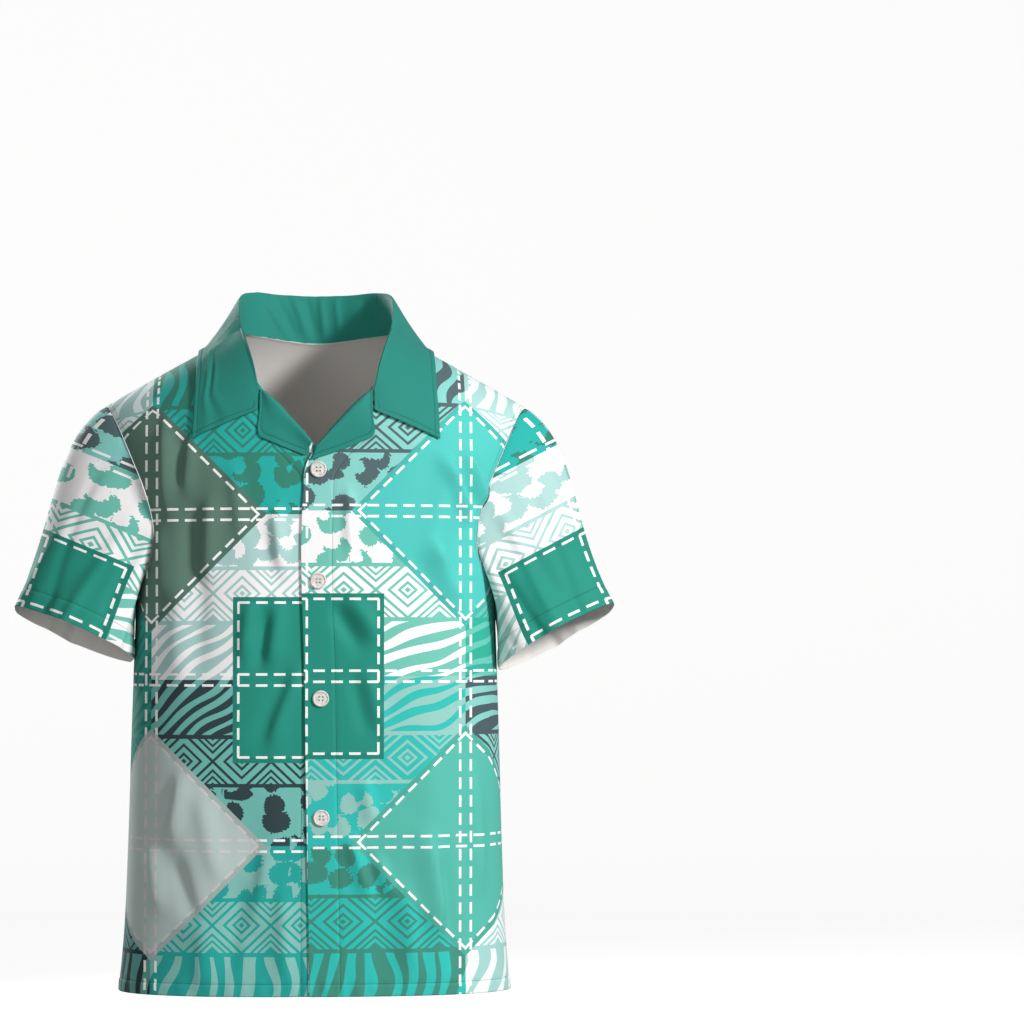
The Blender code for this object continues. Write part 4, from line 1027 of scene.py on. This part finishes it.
def armhole_point(hand, turn):
    """Closed armhole: turn is 0 at the shoulder seam and 1 or -1 in the armpit, front below 0."""
    front = body_point(FRONT, *armhole_place(FRONT, np.abs(turn), hand))
    behind = body_point(BACK, *armhole_place(BACK, np.abs(turn), hand))
    return np.where((turn < 0)[..., None], front, behind)


def body_out(points):
    """Direction straight out of the body's side at some points."""
    x, y, z = points[..., 0], points[..., 1], points[..., 2]
    wide, deep = ring(y, z)
    power = SQUARENESS - 1
    return unit(np.stack([np.sign(x) * np.abs(x / wide) ** power / wide,
                          np.sign(y) * np.abs(y / deep) ** power / deep, 0 * z], axis=-1))


def cuff_point(hand, turn):
    """The cuff is an oval whose front edge is lifted; turn runs as on the armhole."""
    cuff = CUFFS[hand]
    outer = np.array([cuff.outer_x, 0.0, cuff.outer_z])
    inner = np.array([cuff.inner_x, CUFF_INNER_Y, cuff.inner_z])
    centre, half = (outer + inner) / 2, (outer - inner) / 2
    across, deep = np.cos(np.pi * turn)[..., None], np.sin(np.pi * turn)[..., None]
    return centre + half * across + deep * np.array([0, CUFF_HALF_DEPTH, -CUFF_LIFT])


def sleeve_point(hand, turn, down):
    """The sleeve runs from the armhole to the cuff on smooth curves; down is 0 to 1."""
    start, end = armhole_point(hand, turn), cuff_point(hand, turn)
    cuff = CUFFS[hand]
    width = np.array([cuff.outer_x - cuff.inner_x, 0, cuff.outer_z - cuff.inner_z])
    axis = unit(np.array([hand * abs(width[2]), 0, -abs(width[0])]))
    straight = end - start
    length = np.linalg.norm(straight, axis=-1, keepdims=True)
    top = (0.5 + 0.5 * np.cos(np.pi * turn))[..., None]
    leave = unit(straight / length + top ** 2
                 * np.array([hand * SLEEVE_LEAVE[0], 0, SLEEVE_LEAVE[1]])) * length
    arrive = axis * length * (SLEEVE_ARRIVE[0] + SLEEVE_ARRIVE[1] * top)
    under = ease(np.abs(turn), *SLEEVE_SEAM_TURNS)[..., None]
    start = start + unit(leave) * SEAM_GAP + body_out(start) * SLEEVE_SEAM_CLEAR * under
    d = down[..., None]
    point = bridge(start, end, leave, arrive, d)
    core = [np.array([hand * x, 0, z]) for x, z in SLEEVE_CORE]
    out = unit(point - core[0] * (1 - d) - core[1] * d)
    for fold in SLEEVE_FOLDS[hand]:
        across = turn - (fold.turn0 * (1 - down) + fold.turn1 * down)
        point = point + out * (fold.rise * np.exp(-(across / fold.width) ** 2)
                               * ease(down, *SLEEVE_FOLD_START))[..., None]
    point = point - out * top * (SLEEVE_FLAT * np.sin(np.pi * down) ** 2)[..., None]
    wide, deep = ring(point[..., 1], point[..., 2])
    size = ((np.abs(point[..., 0]) / wide) ** SQUARENESS
            + (np.abs(point[..., 1]) / deep) ** SQUARENESS) ** (1 / SQUARENESS)
    margin = SLEEVE_SEAM_CLEAR + (SLEEVE_CLEAR - SLEEVE_SEAM_CLEAR) * ease(down, 0, SLEEVE_SEAM_END)
    inward = ease(np.abs(turn), *UNDER_ARM)
    push = np.maximum((1 + margin / SIDE_REACH) / size - 1, 0) * inward
    point[..., 0] *= 1 + push
    point[..., 1] *= 1 + push
    return point


def sleeve_print_place(laid, hand):
    """The print on a sleeve, laid along the line of its cuff and up from it."""
    top_column = np.abs(laid.u[0]).argmin()
    round_top = np.abs(laid.start - laid.start[:, top_column:top_column + 1])
    cuff = CUFFS[hand]
    along = unit(np.array([cuff.inner_x - cuff.outer_x, cuff.inner_z - cuff.outer_z]))
    off_cuff = laid.points[..., ::2] - np.array([cuff.outer_x, cuff.outer_z])
    across, over_cuff = off_cuff @ along, np.abs(off_cuff @ np.array([along[1], -along[0]]))
    top_line = np.interp(over_cuff, over_cuff[::-1, top_column], across[::-1, top_column])
    across = np.maximum(across - top_line, 0) * (1 - SLEEVE_PRINT_WRAP) + round_top * SLEEVE_PRINT_WRAP
    across = np.maximum(across - SLEEVE_PRINT_START, 0) * read(SLEEVE_PRINT_PACE, over_cuff, "pace")
    level = ease(laid.hem, *SLEEVE_PRINT_LEVEL)
    return (hand * np.sign(laid.u) * across / SLEEVE_REPEAT[0],
            (laid.hem * (1 - level) + over_cuff * level) / SLEEVE_REPEAT[1])


for hand, side in ((WEARER_RIGHT, "right"), (WEARER_LEFT, "left")):
    laid = lay(lambda turn, down: sleeve_point(hand, turn, down), SLEEVE_CELLS, (-1, 1), -hand)
    sleeve_print = sleeve_print_place(laid, hand)
    relief = hem_relief(laid, CUFF_FOLD, 0.9 * hand) + dip(laid.top, 0, *SEAM_DIP)
    sleeve = sew_piece("sleeve_tube_" + side, laid, relief,
                       {"print": sleeve_print, "seams": (laid.hem - CUFF_FOLD, 0 * laid.hem + NO_LINE)},
                       -hand, [printed, inside], closed=True)
    stitch("sleeve_stitches_" + side, [line_on(laid, relief, sleeve_print, laid.hem, CUFF_FOLD)],
           printed, STITCH_PITCH, STITCH)
    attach(sleeve, "root")
    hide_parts("sleeve_" + side)


# ---- Collar --------------------------------------------------------------------------------
# A notched camp collar of plain green cloth, two layers with an interlining between them. It
# stands up round the back of the neck, turns over and lies open on the fronts.

COLLAR_CLOTH = 0.0014
COLLAR_GREEN = "#1f8275"
COLLAR_CELLS = (260, 70)
Station = namedtuple("Station", "share roll_x roll_y roll_z edge_x edge_y edge_z")
COLLAR = [
    Station(0.00, 0.0000, 0.0800, 0.0470, 0.0000, 0.0960, -0.0010),
    Station(0.15, 0.0370, 0.0750, 0.0480, 0.0470, 0.0935, -0.0025),
    Station(0.30, 0.0680, 0.0560, 0.0490, 0.0850, 0.0780, -0.0060),
    Station(0.42, 0.0830, 0.0240, 0.0420, 0.1120, 0.0400, -0.0130),
    Station(0.52, 0.0840, -0.0080, 0.0220, 0.1260, 0.0020, -0.0220),
    Station(0.66, 0.0800, -0.0400, -0.0040, 0.1290, -0.0420, -0.0420),
    Station(0.80, 0.0735, -0.0680, -0.0270, 0.1300, -0.0720, -0.0720),
    Station(0.92, 0.0660, -0.0900, -0.0510, 0.1320, -0.0900, -0.1020),
    Station(1.00, 0.0622, -0.1010, -0.0670, 0.1330, -0.1000, -0.1230),
]
NOTCH = (0.0632, -0.0950)         # x and z where the collar leaves the lapel
ROLL_SIZE = 0.0042                # half the thickness of the roll at the top of the collar
# How far the roll bulges out and hangs down, and the stand leans in, in sizes of the roll.
ROLL_OUT, ROLL_DOWN, STAND_IN = 0.9, 0.5, 0.4
COLLAR_SEAT = 0.0013              # the stand's edge lies this far off the panels
COLLAR_TUCK = 0.0040              # how far it reaches down over their edge
COLLAR_END_LIFT = 0.0044
COLLAR_KNOTS = (0.0, 0.22, 0.36, 0.46, 0.74, 1.0)  # across: seam, stand, roll, turn, leaf, edge
COLLAR_FRONT = (0.35, 0.60)       # stations between which the stand tips over to the front
COLLAR_END = (0.88, 1.0)          # stations over which the roll flattens to the notch
LEAF_RISE = 0.004                 # how far the middle of the leaf bows up
STAND_KNOT = 0.65                 # share of the way from seam to roll of the stand's middle
TURN_KNOT = 0.06                  # share of the way from roll to edge where the roll has turned
NOTCH_KNOT = 0.3                  # the same towards the notch
COLLAR_FLAT = 0.9                 # how much of its bend the collar loses at the notch
LEAF_START = 0.62                 # share across the collar from which the leaf's stitches run
LEAF_GROOVE = (0.60, 0.75)        # share across over which their groove begins
Lift = namedtuple("Lift", "across lift")
COLLAR_LIFT = [Lift(0.0, COLLAR_SEAT), Lift(0.36, 0.0066), Lift(0.50, 0.0062), Lift(0.74, 0.0046),
               Lift(1.0, 0.0037)]


def clear_body(points, margin):
    """Moves points out until they are at least margin away from the body's surface."""
    x, y, z = points[..., 0], points[..., 1], points[..., 2]
    radius = np.where(y < 0, ROLL_RADIUS[FRONT], ROLL_RADIUS[BACK])
    wide, deep = ring(y, z)
    left = np.clip(1 - (np.abs(x) / wide) ** SQUARENESS, 0.02, 1)
    half = deep * left ** (1 / SQUARENESS)
    low = np.maximum(radius - (ridge(x) - z), 0)
    size = np.sqrt((y / half) ** 2 + (low / radius) ** 2)
    grow = np.maximum((1 + margin / np.minimum(half, radius)) / np.maximum(size, 0.05), 1)
    moved = points.copy()
    moved[..., 1] = y * grow
    moved[..., 2] = z + low * (grow - 1)
    return moved


def neck_line(share):
    """The neck seam on the wearer's left, from the middle of the back (0) to the notch (1).

    Gives its points and the direction straight off the cloth there.
    """
    behind = np.clip(share / 0.5, 0, 1)
    back_angle, back_way = back_top_place(BACK_NECK_SHARE * behind)
    back_angle = back_angle * (1 + COLLAR_TUCK / NECK_SIDE_X)
    back_way = back_way + COLLAR_TUCK * (1 - behind)
    seam = [Edge(row.x + COLLAR_TUCK, row.z) for row in NECK_EDGE]
    front_angle, front_way = front_edge_place(np.clip(share / 0.5 - 1, 0, 1), 1, seam)
    behind = (share < 0.5)[..., None]
    point = np.where(behind, body_point(BACK, back_angle, back_way),
                     body_point(FRONT, front_angle, front_way))
    tilt = np.where(share < 0.5, back_way / ROLL_RADIUS[BACK], -front_way / ROLL_RADIUS[FRONT])
    return point, np.stack([0 * share, np.sin(tilt), np.cos(tilt)], axis=-1)


def collar_point(share, across):
    """share runs from -1 (right notch) over the back of the neck to 1 (left notch)."""
    hand = np.where(share < 0, WEARER_RIGHT, WEARER_LEFT)
    s = np.abs(share)
    neck, off = neck_line(s)
    roll, edge = (np.stack([read(COLLAR, s, name + axis) for axis in "xyz"], axis=-1)
                  for name in ("roll_", "edge_"))
    front = ease(s, *COLLAR_FRONT)[..., None]
    up = unit(np.array([0, 0, 1.0]) * (1 - front) + off * front)
    out = edge - roll
    out = unit(out - (out * up).sum(-1, keepdims=True) * up)
    neck = neck + off * COLLAR_SEAT
    stand = np.linalg.norm(roll - neck, axis=-1, keepdims=True)
    size = ROLL_SIZE * ease(stand, 0.0, 0.03)
    end = ease(s, *COLLAR_END)[..., None]
    notch = np.stack([0 * s + NOTCH[0], edge[..., 1], 0 * s + NOTCH[1]], axis=-1)
    middle = (roll * 0.5 + edge * 0.5 + up * LEAF_RISE) * (1 - end) + notch * end
    turned = (roll * (1 - TURN_KNOT) + edge * TURN_KNOT + out * size * ROLL_OUT
              - up * size * ROLL_DOWN)
    turned = turned * (1 - end) + (roll * (1 - NOTCH_KNOT) + notch * NOTCH_KNOT) * end
    stand_middle = neck * (1 - STAND_KNOT) + roll * STAND_KNOT - out * size * STAND_IN
    knots = [neck, stand_middle, roll, turned, middle, edge]
    point = np.zeros_like(neck)
    last = len(knots) - 2
    for k, (low, high) in enumerate(zip(COLLAR_KNOTS, COLLAR_KNOTS[1:])):
        before, after = max(k - 1, 0), min(k + 2, last + 1)
        inside_stretch = ((across >= low) | (k == 0)) & ((across < high) | (k == last))
        t = np.clip((across - low) / (high - low), 0, 1)[..., None]
        bend = (high - low) * (1 - COLLAR_FLAT * end)
        slope_low = (knots[k + 1] - knots[before]) / (high - COLLAR_KNOTS[before]) * bend
        slope_high = (knots[after] - knots[k]) / (COLLAR_KNOTS[after] - low) * bend
        stretch = bridge(knots[k], knots[k + 1], slope_low, slope_high, t)
        point = np.where(inside_stretch[..., None], stretch, point)
    flatter = (COLLAR_LIFT[1].lift - COLLAR_END_LIFT) * end[..., 0]
    rolled = ease(across, 0.0, 0.3) * (1 - ease(across, 0.5, 0.8))
    point = clear_body(point, read(COLLAR_LIFT, across, "lift") - flatter * rolled)
    point[..., 0] *= hand
    return point


# Soft folds of the collar: from and to, as share round the neck and share across it, the
# width as a share round the neck, and how far they rise. They rise and die away as on the body.
COLLAR_FOLD_RISES, COLLAR_FOLD_DIES = (-0.25, 0.30), (0.65, 1.15)
CollarFold = namedtuple("CollarFold", "share0 across0 share1 across1 width rise")
COLLAR_FOLDS = [
    CollarFold(-0.270, 0.33, -0.130, 0.03, 0.020, 0.0024),
    CollarFold(-0.190, 0.33, -0.085, 0.03, 0.018, -0.0016),
    CollarFold(-0.105, 0.33, -0.035, 0.03, 0.018, 0.0024),
    CollarFold(-0.045, 0.33, 0.000, 0.04, 0.014, -0.0014),
    CollarFold(0.018, 0.33, 0.034, 0.03, 0.014, 0.0020),
    CollarFold(0.088, 0.33, 0.100, 0.05, 0.014, 0.0016),
    CollarFold(0.220, 0.30, 0.260, 0.05, 0.030, -0.0016),
    CollarFold(-0.72, 0.855, -1.02, 0.945, 0.085, 0.0011),
    CollarFold(-0.74, 0.820, -1.02, 0.918, 0.075, -0.0008),
    CollarFold(-0.76, 0.790, -1.02, 0.885, 0.075, 0.0009),
    CollarFold(-0.52, 0.52, -0.58, 0.92, 0.026, -0.0010),
    CollarFold(-0.62, 0.55, -0.68, 0.96, 0.026, 0.0010),
    CollarFold(0.60, 0.56, 0.66, 0.96, 0.026, 0.0012),
    CollarFold(0.80, 0.62, 0.84, 1.02, 0.024, -0.0010),
    CollarFold(-0.20, 0.52, -0.26, 1.00, 0.024, 0.0010),
    CollarFold(0.16, 0.54, 0.20, 1.00, 0.024, -0.0014),
    CollarFold(0.34, 0.52, 0.40, 0.96, 0.022, 0.0014),
    CollarFold(-0.38, 0.54, -0.42, 0.98, 0.024, -0.0009),
]


def collar_folds(share, across):
    """How far the folds raise the collar at a place."""
    rise = 0 * share
    for fold in COLLAR_FOLDS:
        along = (across - fold.across0) / (fold.across1 - fold.across0)
        middle = fold.share0 + (fold.share1 - fold.share0) * along
        taper = ease(along, *COLLAR_FOLD_RISES) * (1 - ease(along, *COLLAR_FOLD_DIES))
        rise = rise + fold.rise * taper * np.exp(-((share - middle) / fold.width) ** 2)
    return rise


# Collar and lapels are the same polyester, dyed in one green.
green = plain_cloth("plain green polyester", COLLAR_GREEN, THREADS)
collar_laid = lay(collar_point, COLLAR_CELLS, (-1, 1), 1, crowd=0.35)
collar_print = (collar_laid.start / REPEAT, collar_laid.top / REPEAT)
leaf = ease(collar_laid.v, *LEAF_GROOVE)
collar_relief = (collar_folds(collar_laid.u, collar_laid.v)
                 + dip(collar_laid.hem, TOP_STITCH, *TOP_DIP)
                 + leaf * dip(np.minimum(collar_laid.start, collar_laid.end), TOP_STITCH, *TOP_DIP))
leaf_rows = collar_laid.v[:, 0] > LEAF_START
leaf_laid = Laid(*(field[leaf_rows] for field in collar_laid))
leaf_edges = [line_on(leaf_laid, collar_relief[leaf_rows], [half[leaf_rows] for half in collar_print],
                      side, TOP_STITCH, down=True) for side in (leaf_laid.start, leaf_laid.end)]
lower_edge = line_on(collar_laid, collar_relief, collar_print, collar_laid.hem, TOP_STITCH)
collar_ends = np.minimum(collar_laid.start, collar_laid.end) - TOP_STITCH
collar_ends = np.where(collar_laid.v > LEAF_START, collar_ends, NO_LINE)
collar = sew_piece("camp_collar", collar_laid, collar_relief,
                   {"print": collar_print, "seams": (collar_laid.hem - TOP_STITCH, collar_ends)},
                   1, [green], COLLAR_CLOTH)
stitch("collar_stitches", [lower_edge, *leaf_edges], green, STITCH_PITCH, STITCH)
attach(collar, "root")
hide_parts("collar")


# ---- Lapels --------------------------------------------------------------------------------
# The tops of the fronts, faced with the plain green cloth and turned back. The facing is sewn
# along the lapel's edge and to the collar.

LAPEL_CELLS = (28, 60)
Lapel = namedtuple("Lapel", "share roll_x roll_z edge_x edge_z")
LAPEL = [
    Lapel(0.00, 0.0585, -0.0700, 0.0590, -0.0716),
    Lapel(0.16, 0.0500, -0.0780, 0.0596, -0.0960),
    Lapel(0.34, 0.0400, -0.0890, 0.0602, -0.1195),
    Lapel(0.50, 0.0300, -0.0995, 0.0460, -0.1270),
    Lapel(0.78, 0.0135, -0.1170, 0.0230, -0.1368),
]
LAPEL_END = {
    WEARER_RIGHT: Lapel(1.00, 0.0045, -0.1275, 0.0125, -0.1408),
    WEARER_LEFT: Lapel(1.00, 0.0010, -0.1310, -0.0050, -0.1462),
}
LAPEL_CLEAR = 0.0024
LAPEL_ROLL = 0.0030       # how much higher the turned edge stands
LAPEL_ROLL_WIDTH = 0.35   # share of the lapel that the turn takes
LAPEL_WRAP = 0.09         # share of the lapel by which the facing wraps over the front's edge
LAPEL_CURL = 0.0040       # how far it curls down there


def lapel_point(hand, down, across):
    """down runs from the collar to the lapel's lower end, across from its roll line to its edge."""
    table = LAPEL + [LAPEL_END[hand]]
    x = read(table, down, "roll_x") * (1 - across) + read(table, down, "edge_x") * across
    z = read(table, down, "roll_z") * (1 - across) + read(table, down, "edge_z") * across
    lift = LAPEL_CLEAR + LAPEL_ROLL * np.exp(-(across / LAPEL_ROLL_WIDTH) ** 2) * ease(down, 0.0, 0.2)
    lift = lift - LAPEL_CURL * (np.minimum(across, 0) / LAPEL_WRAP) ** 2
    angle, way = place_of(FRONT, hand * x, z)
    return underlap(body_point(FRONT, angle, way, lift), hand)


for hand, side in ((WEARER_RIGHT, "right"), (WEARER_LEFT, "left")):
    laid = lay(lambda u, v: lapel_point(hand, v, u), LAPEL_CELLS, (-LAPEL_WRAP, 1), -hand)
    lapel_print = (laid.start / REPEAT, laid.top / REPEAT)
    relief = dip(laid.end, TOP_STITCH, *TOP_DIP)
    line = line_on(laid, relief, lapel_print, laid.end, TOP_STITCH, down=True)
    stitch("lapel_stitches_" + side, [line], green, STITCH_PITCH, STITCH)
    lapel_seams = (laid.end - TOP_STITCH, 0 * laid.end + NO_LINE)
    lapel = sew_piece("lapel_facing_" + side, laid, relief,
                      {"print": lapel_print, "seams": lapel_seams}, -hand, [green], COLLAR_CLOTH)
    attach(lapel, "root")
    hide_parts("lapel_" + side)


# ---- Buttons -------------------------------------------------------------------------------
# Four ivory plastic buttons with four holes, sewn to the right front through vertical
# buttonholes in the left one.

BUTTONHOLE = 0.0225       # length of a buttonhole, upright on the left front
BUTTONHOLE_HALF = 0.0011  # from its slit to each row of its stitches
HOLE_STEP = 0.0019        # from the button's middle to the middle of a hole
BUTTONHOLE_STITCH = (0.0016, 0.00050, 0.00060)
BUTTONHOLE_PITCH = 0.0006
BUTTONHOLE_LIFT = 0.0002  # how far its stitches lie off the cloth
BUTTONHOLE_POINTS = 24    # points along each row of them
HOLE_THREAD = (0.0042, 0.00050, 0.00050)
THREAD_PITCH = 0.0046     # one stitch of thread between two holes
THREAD_REACH = 1.25       # how far it runs, in steps from the button's middle
THREAD_SINK = 0.0002


def pearly_plastic():
    """Polyester cast to look like shell: an ivory ground with drifting cloudy bands, and gloss."""
    finish, tree, shader = new_finish("cast polyester, ivory")
    place = put(tree, "TexCoord").outputs["Object"]
    clouds = put(tree, "TexNoise", {"Vector": place, "Scale": 260.0, "Detail": 2.0, "Distortion": 1.2})
    tint = put(tree, "ValToRGB", [clouds.outputs[0]])
    tint.color_ramp.elements[0].position, tint.color_ramp.elements[1].position = 0.35, 0.65
    tint.color_ramp.elements[0].color = linear("#c9c1ba")
    tint.color_ramp.elements[1].color = linear("#ece8e4")
    tree.links.new(tint.outputs[0], shader.inputs["Base Color"])
    rough = work_out(tree, "0.22 + cloud * 0.16", cloud=clouds.outputs[0])
    tree.links.new(rough, shader.inputs["Roughness"])
    bump = put(tree, "Bump", {"Height": clouds.outputs[0], "Strength": 0.2, "Distance": 0.0001})
    tree.links.new(bump.outputs[0], shader.inputs["Normal"])
    shader.inputs["IOR"].default_value = 1.54
    return finish


plastic = pearly_plastic()
# Spun polyester thread is as matt as the cloth, so it takes the same finish with finer threads.
thread = plain_cloth("polyester sewing thread", "#a69f97", 0.4 * MM)
over_front = fronts[WEARER_LEFT]
for number in range(1, 5):
    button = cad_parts[f"button_{number}"]
    button.data.materials.clear()
    button.data.materials.append(plastic)
    low, high = (np.array(corner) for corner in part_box(f"button_{number}"))
    middle = (low + high) / 2
    near = np.linalg.norm(over_front.points[..., ::2] - middle[::2], axis=-1).argmin()
    out = over_front.out.reshape(-1, 3)[near]
    upright = unit(np.array([0.0, 0.0, 1.0]) - out * out[2])
    level = np.cross(upright, out)
    cloth = over_front.points.reshape(-1, 3)[near]
    cloth = cloth + level * ((middle - cloth) @ level) + upright * ((middle - cloth) @ upright)
    top = cloth + out * ((middle - cloth) @ out) - out * THREAD_SINK
    spot = np.zeros(2)
    lines = [np.array([[*(top + HOLE_STEP * (level * side + upright * end * THREAD_REACH)), *out, *spot]
                       for end in (-1, 1)]) for side in (-1, 1)]
    stitch(f"button_thread_{number}", lines, thread, THREAD_PITCH, HOLE_THREAD)
    slit = []
    heights = middle[2] + np.linspace(-BUTTONHOLE / 2, BUTTONHOLE / 2, BUTTONHOLE_POINTS)
    for side in (-1, 1):
        angles, ways = place_of(FRONT, middle[0] + side * BUTTONHOLE_HALF + 0 * heights, heights)
        rows = body_point(FRONT, angles, ways, BUTTONHOLE_LIFT)
        on_print = (rows[:, ::2] - np.array(FRONT_PRINT[WEARER_LEFT])) / PRINT_REPEAT[FRONT]
        slit.append(np.concatenate([rows, np.broadcast_to(out, rows.shape), on_print], axis=-1))
    stitch(f"buttonhole_{number}", slit, printed, BUTTONHOLE_PITCH, BUTTONHOLE_STITCH,
           across=True)


# ---- Setting -------------------------------------------------------------------------------
# A pale seamless sweep far below and behind the shirt, soft studio light and the camera
# straight before the shirt, which stands low and left in the picture.

PIXEL = 0.0011            # metres a pixel at the shirt's middle plane
CAMERA_AWAY = 4.0
CAMERA_HEIGHT = -0.345
SENSOR = 36.0
PICTURE = 1024
MIDDLE_PIXEL = (316, 646) # where the camera's foot point lies in the picture

lens = SENSOR * CAMERA_AWAY / (PICTURE * PIXEL)
pixels = PICTURE / SENSOR * lens
camera_data = bpy.data.cameras.new("camera")
camera_data.sensor_width = SENSOR
camera_data.lens = lens
camera = add_object("camera", camera_data)
camera.location = (0, -CAMERA_AWAY, CAMERA_HEIGHT)
camera.rotation_euler = (np.pi / 2 + np.arctan((MIDDLE_PIXEL[1] - PICTURE / 2) / pixels), 0,
                         -np.arctan((PICTURE / 2 - MIDDLE_PIXEL[0]) / pixels))
bpy.context.scene.camera = camera

FLOOR_Z = -1.15
FLOOR_RADIUS, SWEEP_RADIUS, SWEEP_TOP = 7.0, 3.0, 9.0
SWEEP_STEPS, SWEEP_SIDES = 12, 64
LIT_POINT = Vector((0, 0, -0.3))  # what the lamps are turned to
sweep_mesh = bmesh.new()
profile = [sweep_mesh.verts.new((along, 0, FLOOR_Z)) for along in (0.0, FLOOR_RADIUS)]
for step in range(1, SWEEP_STEPS + 1):
    turn = step / SWEEP_STEPS * np.pi / 2
    profile.append(sweep_mesh.verts.new((FLOOR_RADIUS + SWEEP_RADIUS * np.sin(turn), 0,
                                         FLOOR_Z + SWEEP_RADIUS * (1 - np.cos(turn)))))
profile.append(sweep_mesh.verts.new((FLOOR_RADIUS + SWEEP_RADIUS, 0, SWEEP_TOP)))
edges = [sweep_mesh.edges.new(pair) for pair in zip(profile, profile[1:])]
bmesh.ops.spin(sweep_mesh, geom=profile + edges, cent=(0, 0, 0), axis=(0, 0, 1), angle=2 * np.pi,
               steps=SWEEP_SIDES, use_merge=True)
bmesh.ops.remove_doubles(sweep_mesh, verts=sweep_mesh.verts, dist=MERGE)
bmesh.ops.recalc_face_normals(sweep_mesh, faces=sweep_mesh.faces)
sweep = add_object("sweep", finished_mesh("sweep", sweep_mesh))
sweep.data.shade_smooth()
sweep.visible_diffuse = sweep.visible_glossy = False   # the white paper doesn't flatten the folds
# White background paper, matt and lit by itself, so that it stays as pale as in a cut-out.
paper, _, paper_shader = new_finish("pale studio paper")
paper_shader.inputs["Base Color"].default_value = linear("#f4f4f3")
paper_shader.inputs["Roughness"].default_value = 0.9
paper_shader.inputs["Emission Color"].default_value = (1, 1, 1, 1)
paper_shader.inputs["Emission Strength"].default_value = 0.68
sweep.data.materials.append(paper)

world = bpy.data.worlds.new("studio")
bpy.context.scene.world = world
world.use_nodes = True
world.node_tree.nodes["Background"].inputs["Color"].default_value = (1, 1, 1, 1)
world.node_tree.nodes["Background"].inputs["Strength"].default_value = 0.25

Lamp = namedtuple("Lamp", "name x y z size power")
for lamp in (Lamp("key", 2.6, -2.5, 1.1, 0.6, 150), Lamp("fill", -1.6, -3.3, 0.1, 2.0, 24),
             Lamp("behind", -2.0, 2.9, 1.2, 0.7, 124)):
    light = bpy.data.lights.new(lamp.name, "AREA")
    light.size, light.energy = lamp.size, lamp.power
    made = add_object(lamp.name, light)
    made.location = (lamp.x, lamp.y, lamp.z)
    made.rotation_euler = (LIT_POINT - made.location).to_track_quat("-Z", "Y").to_euler()
bpy.context.scene.view_settings.view_transform = "Standard"
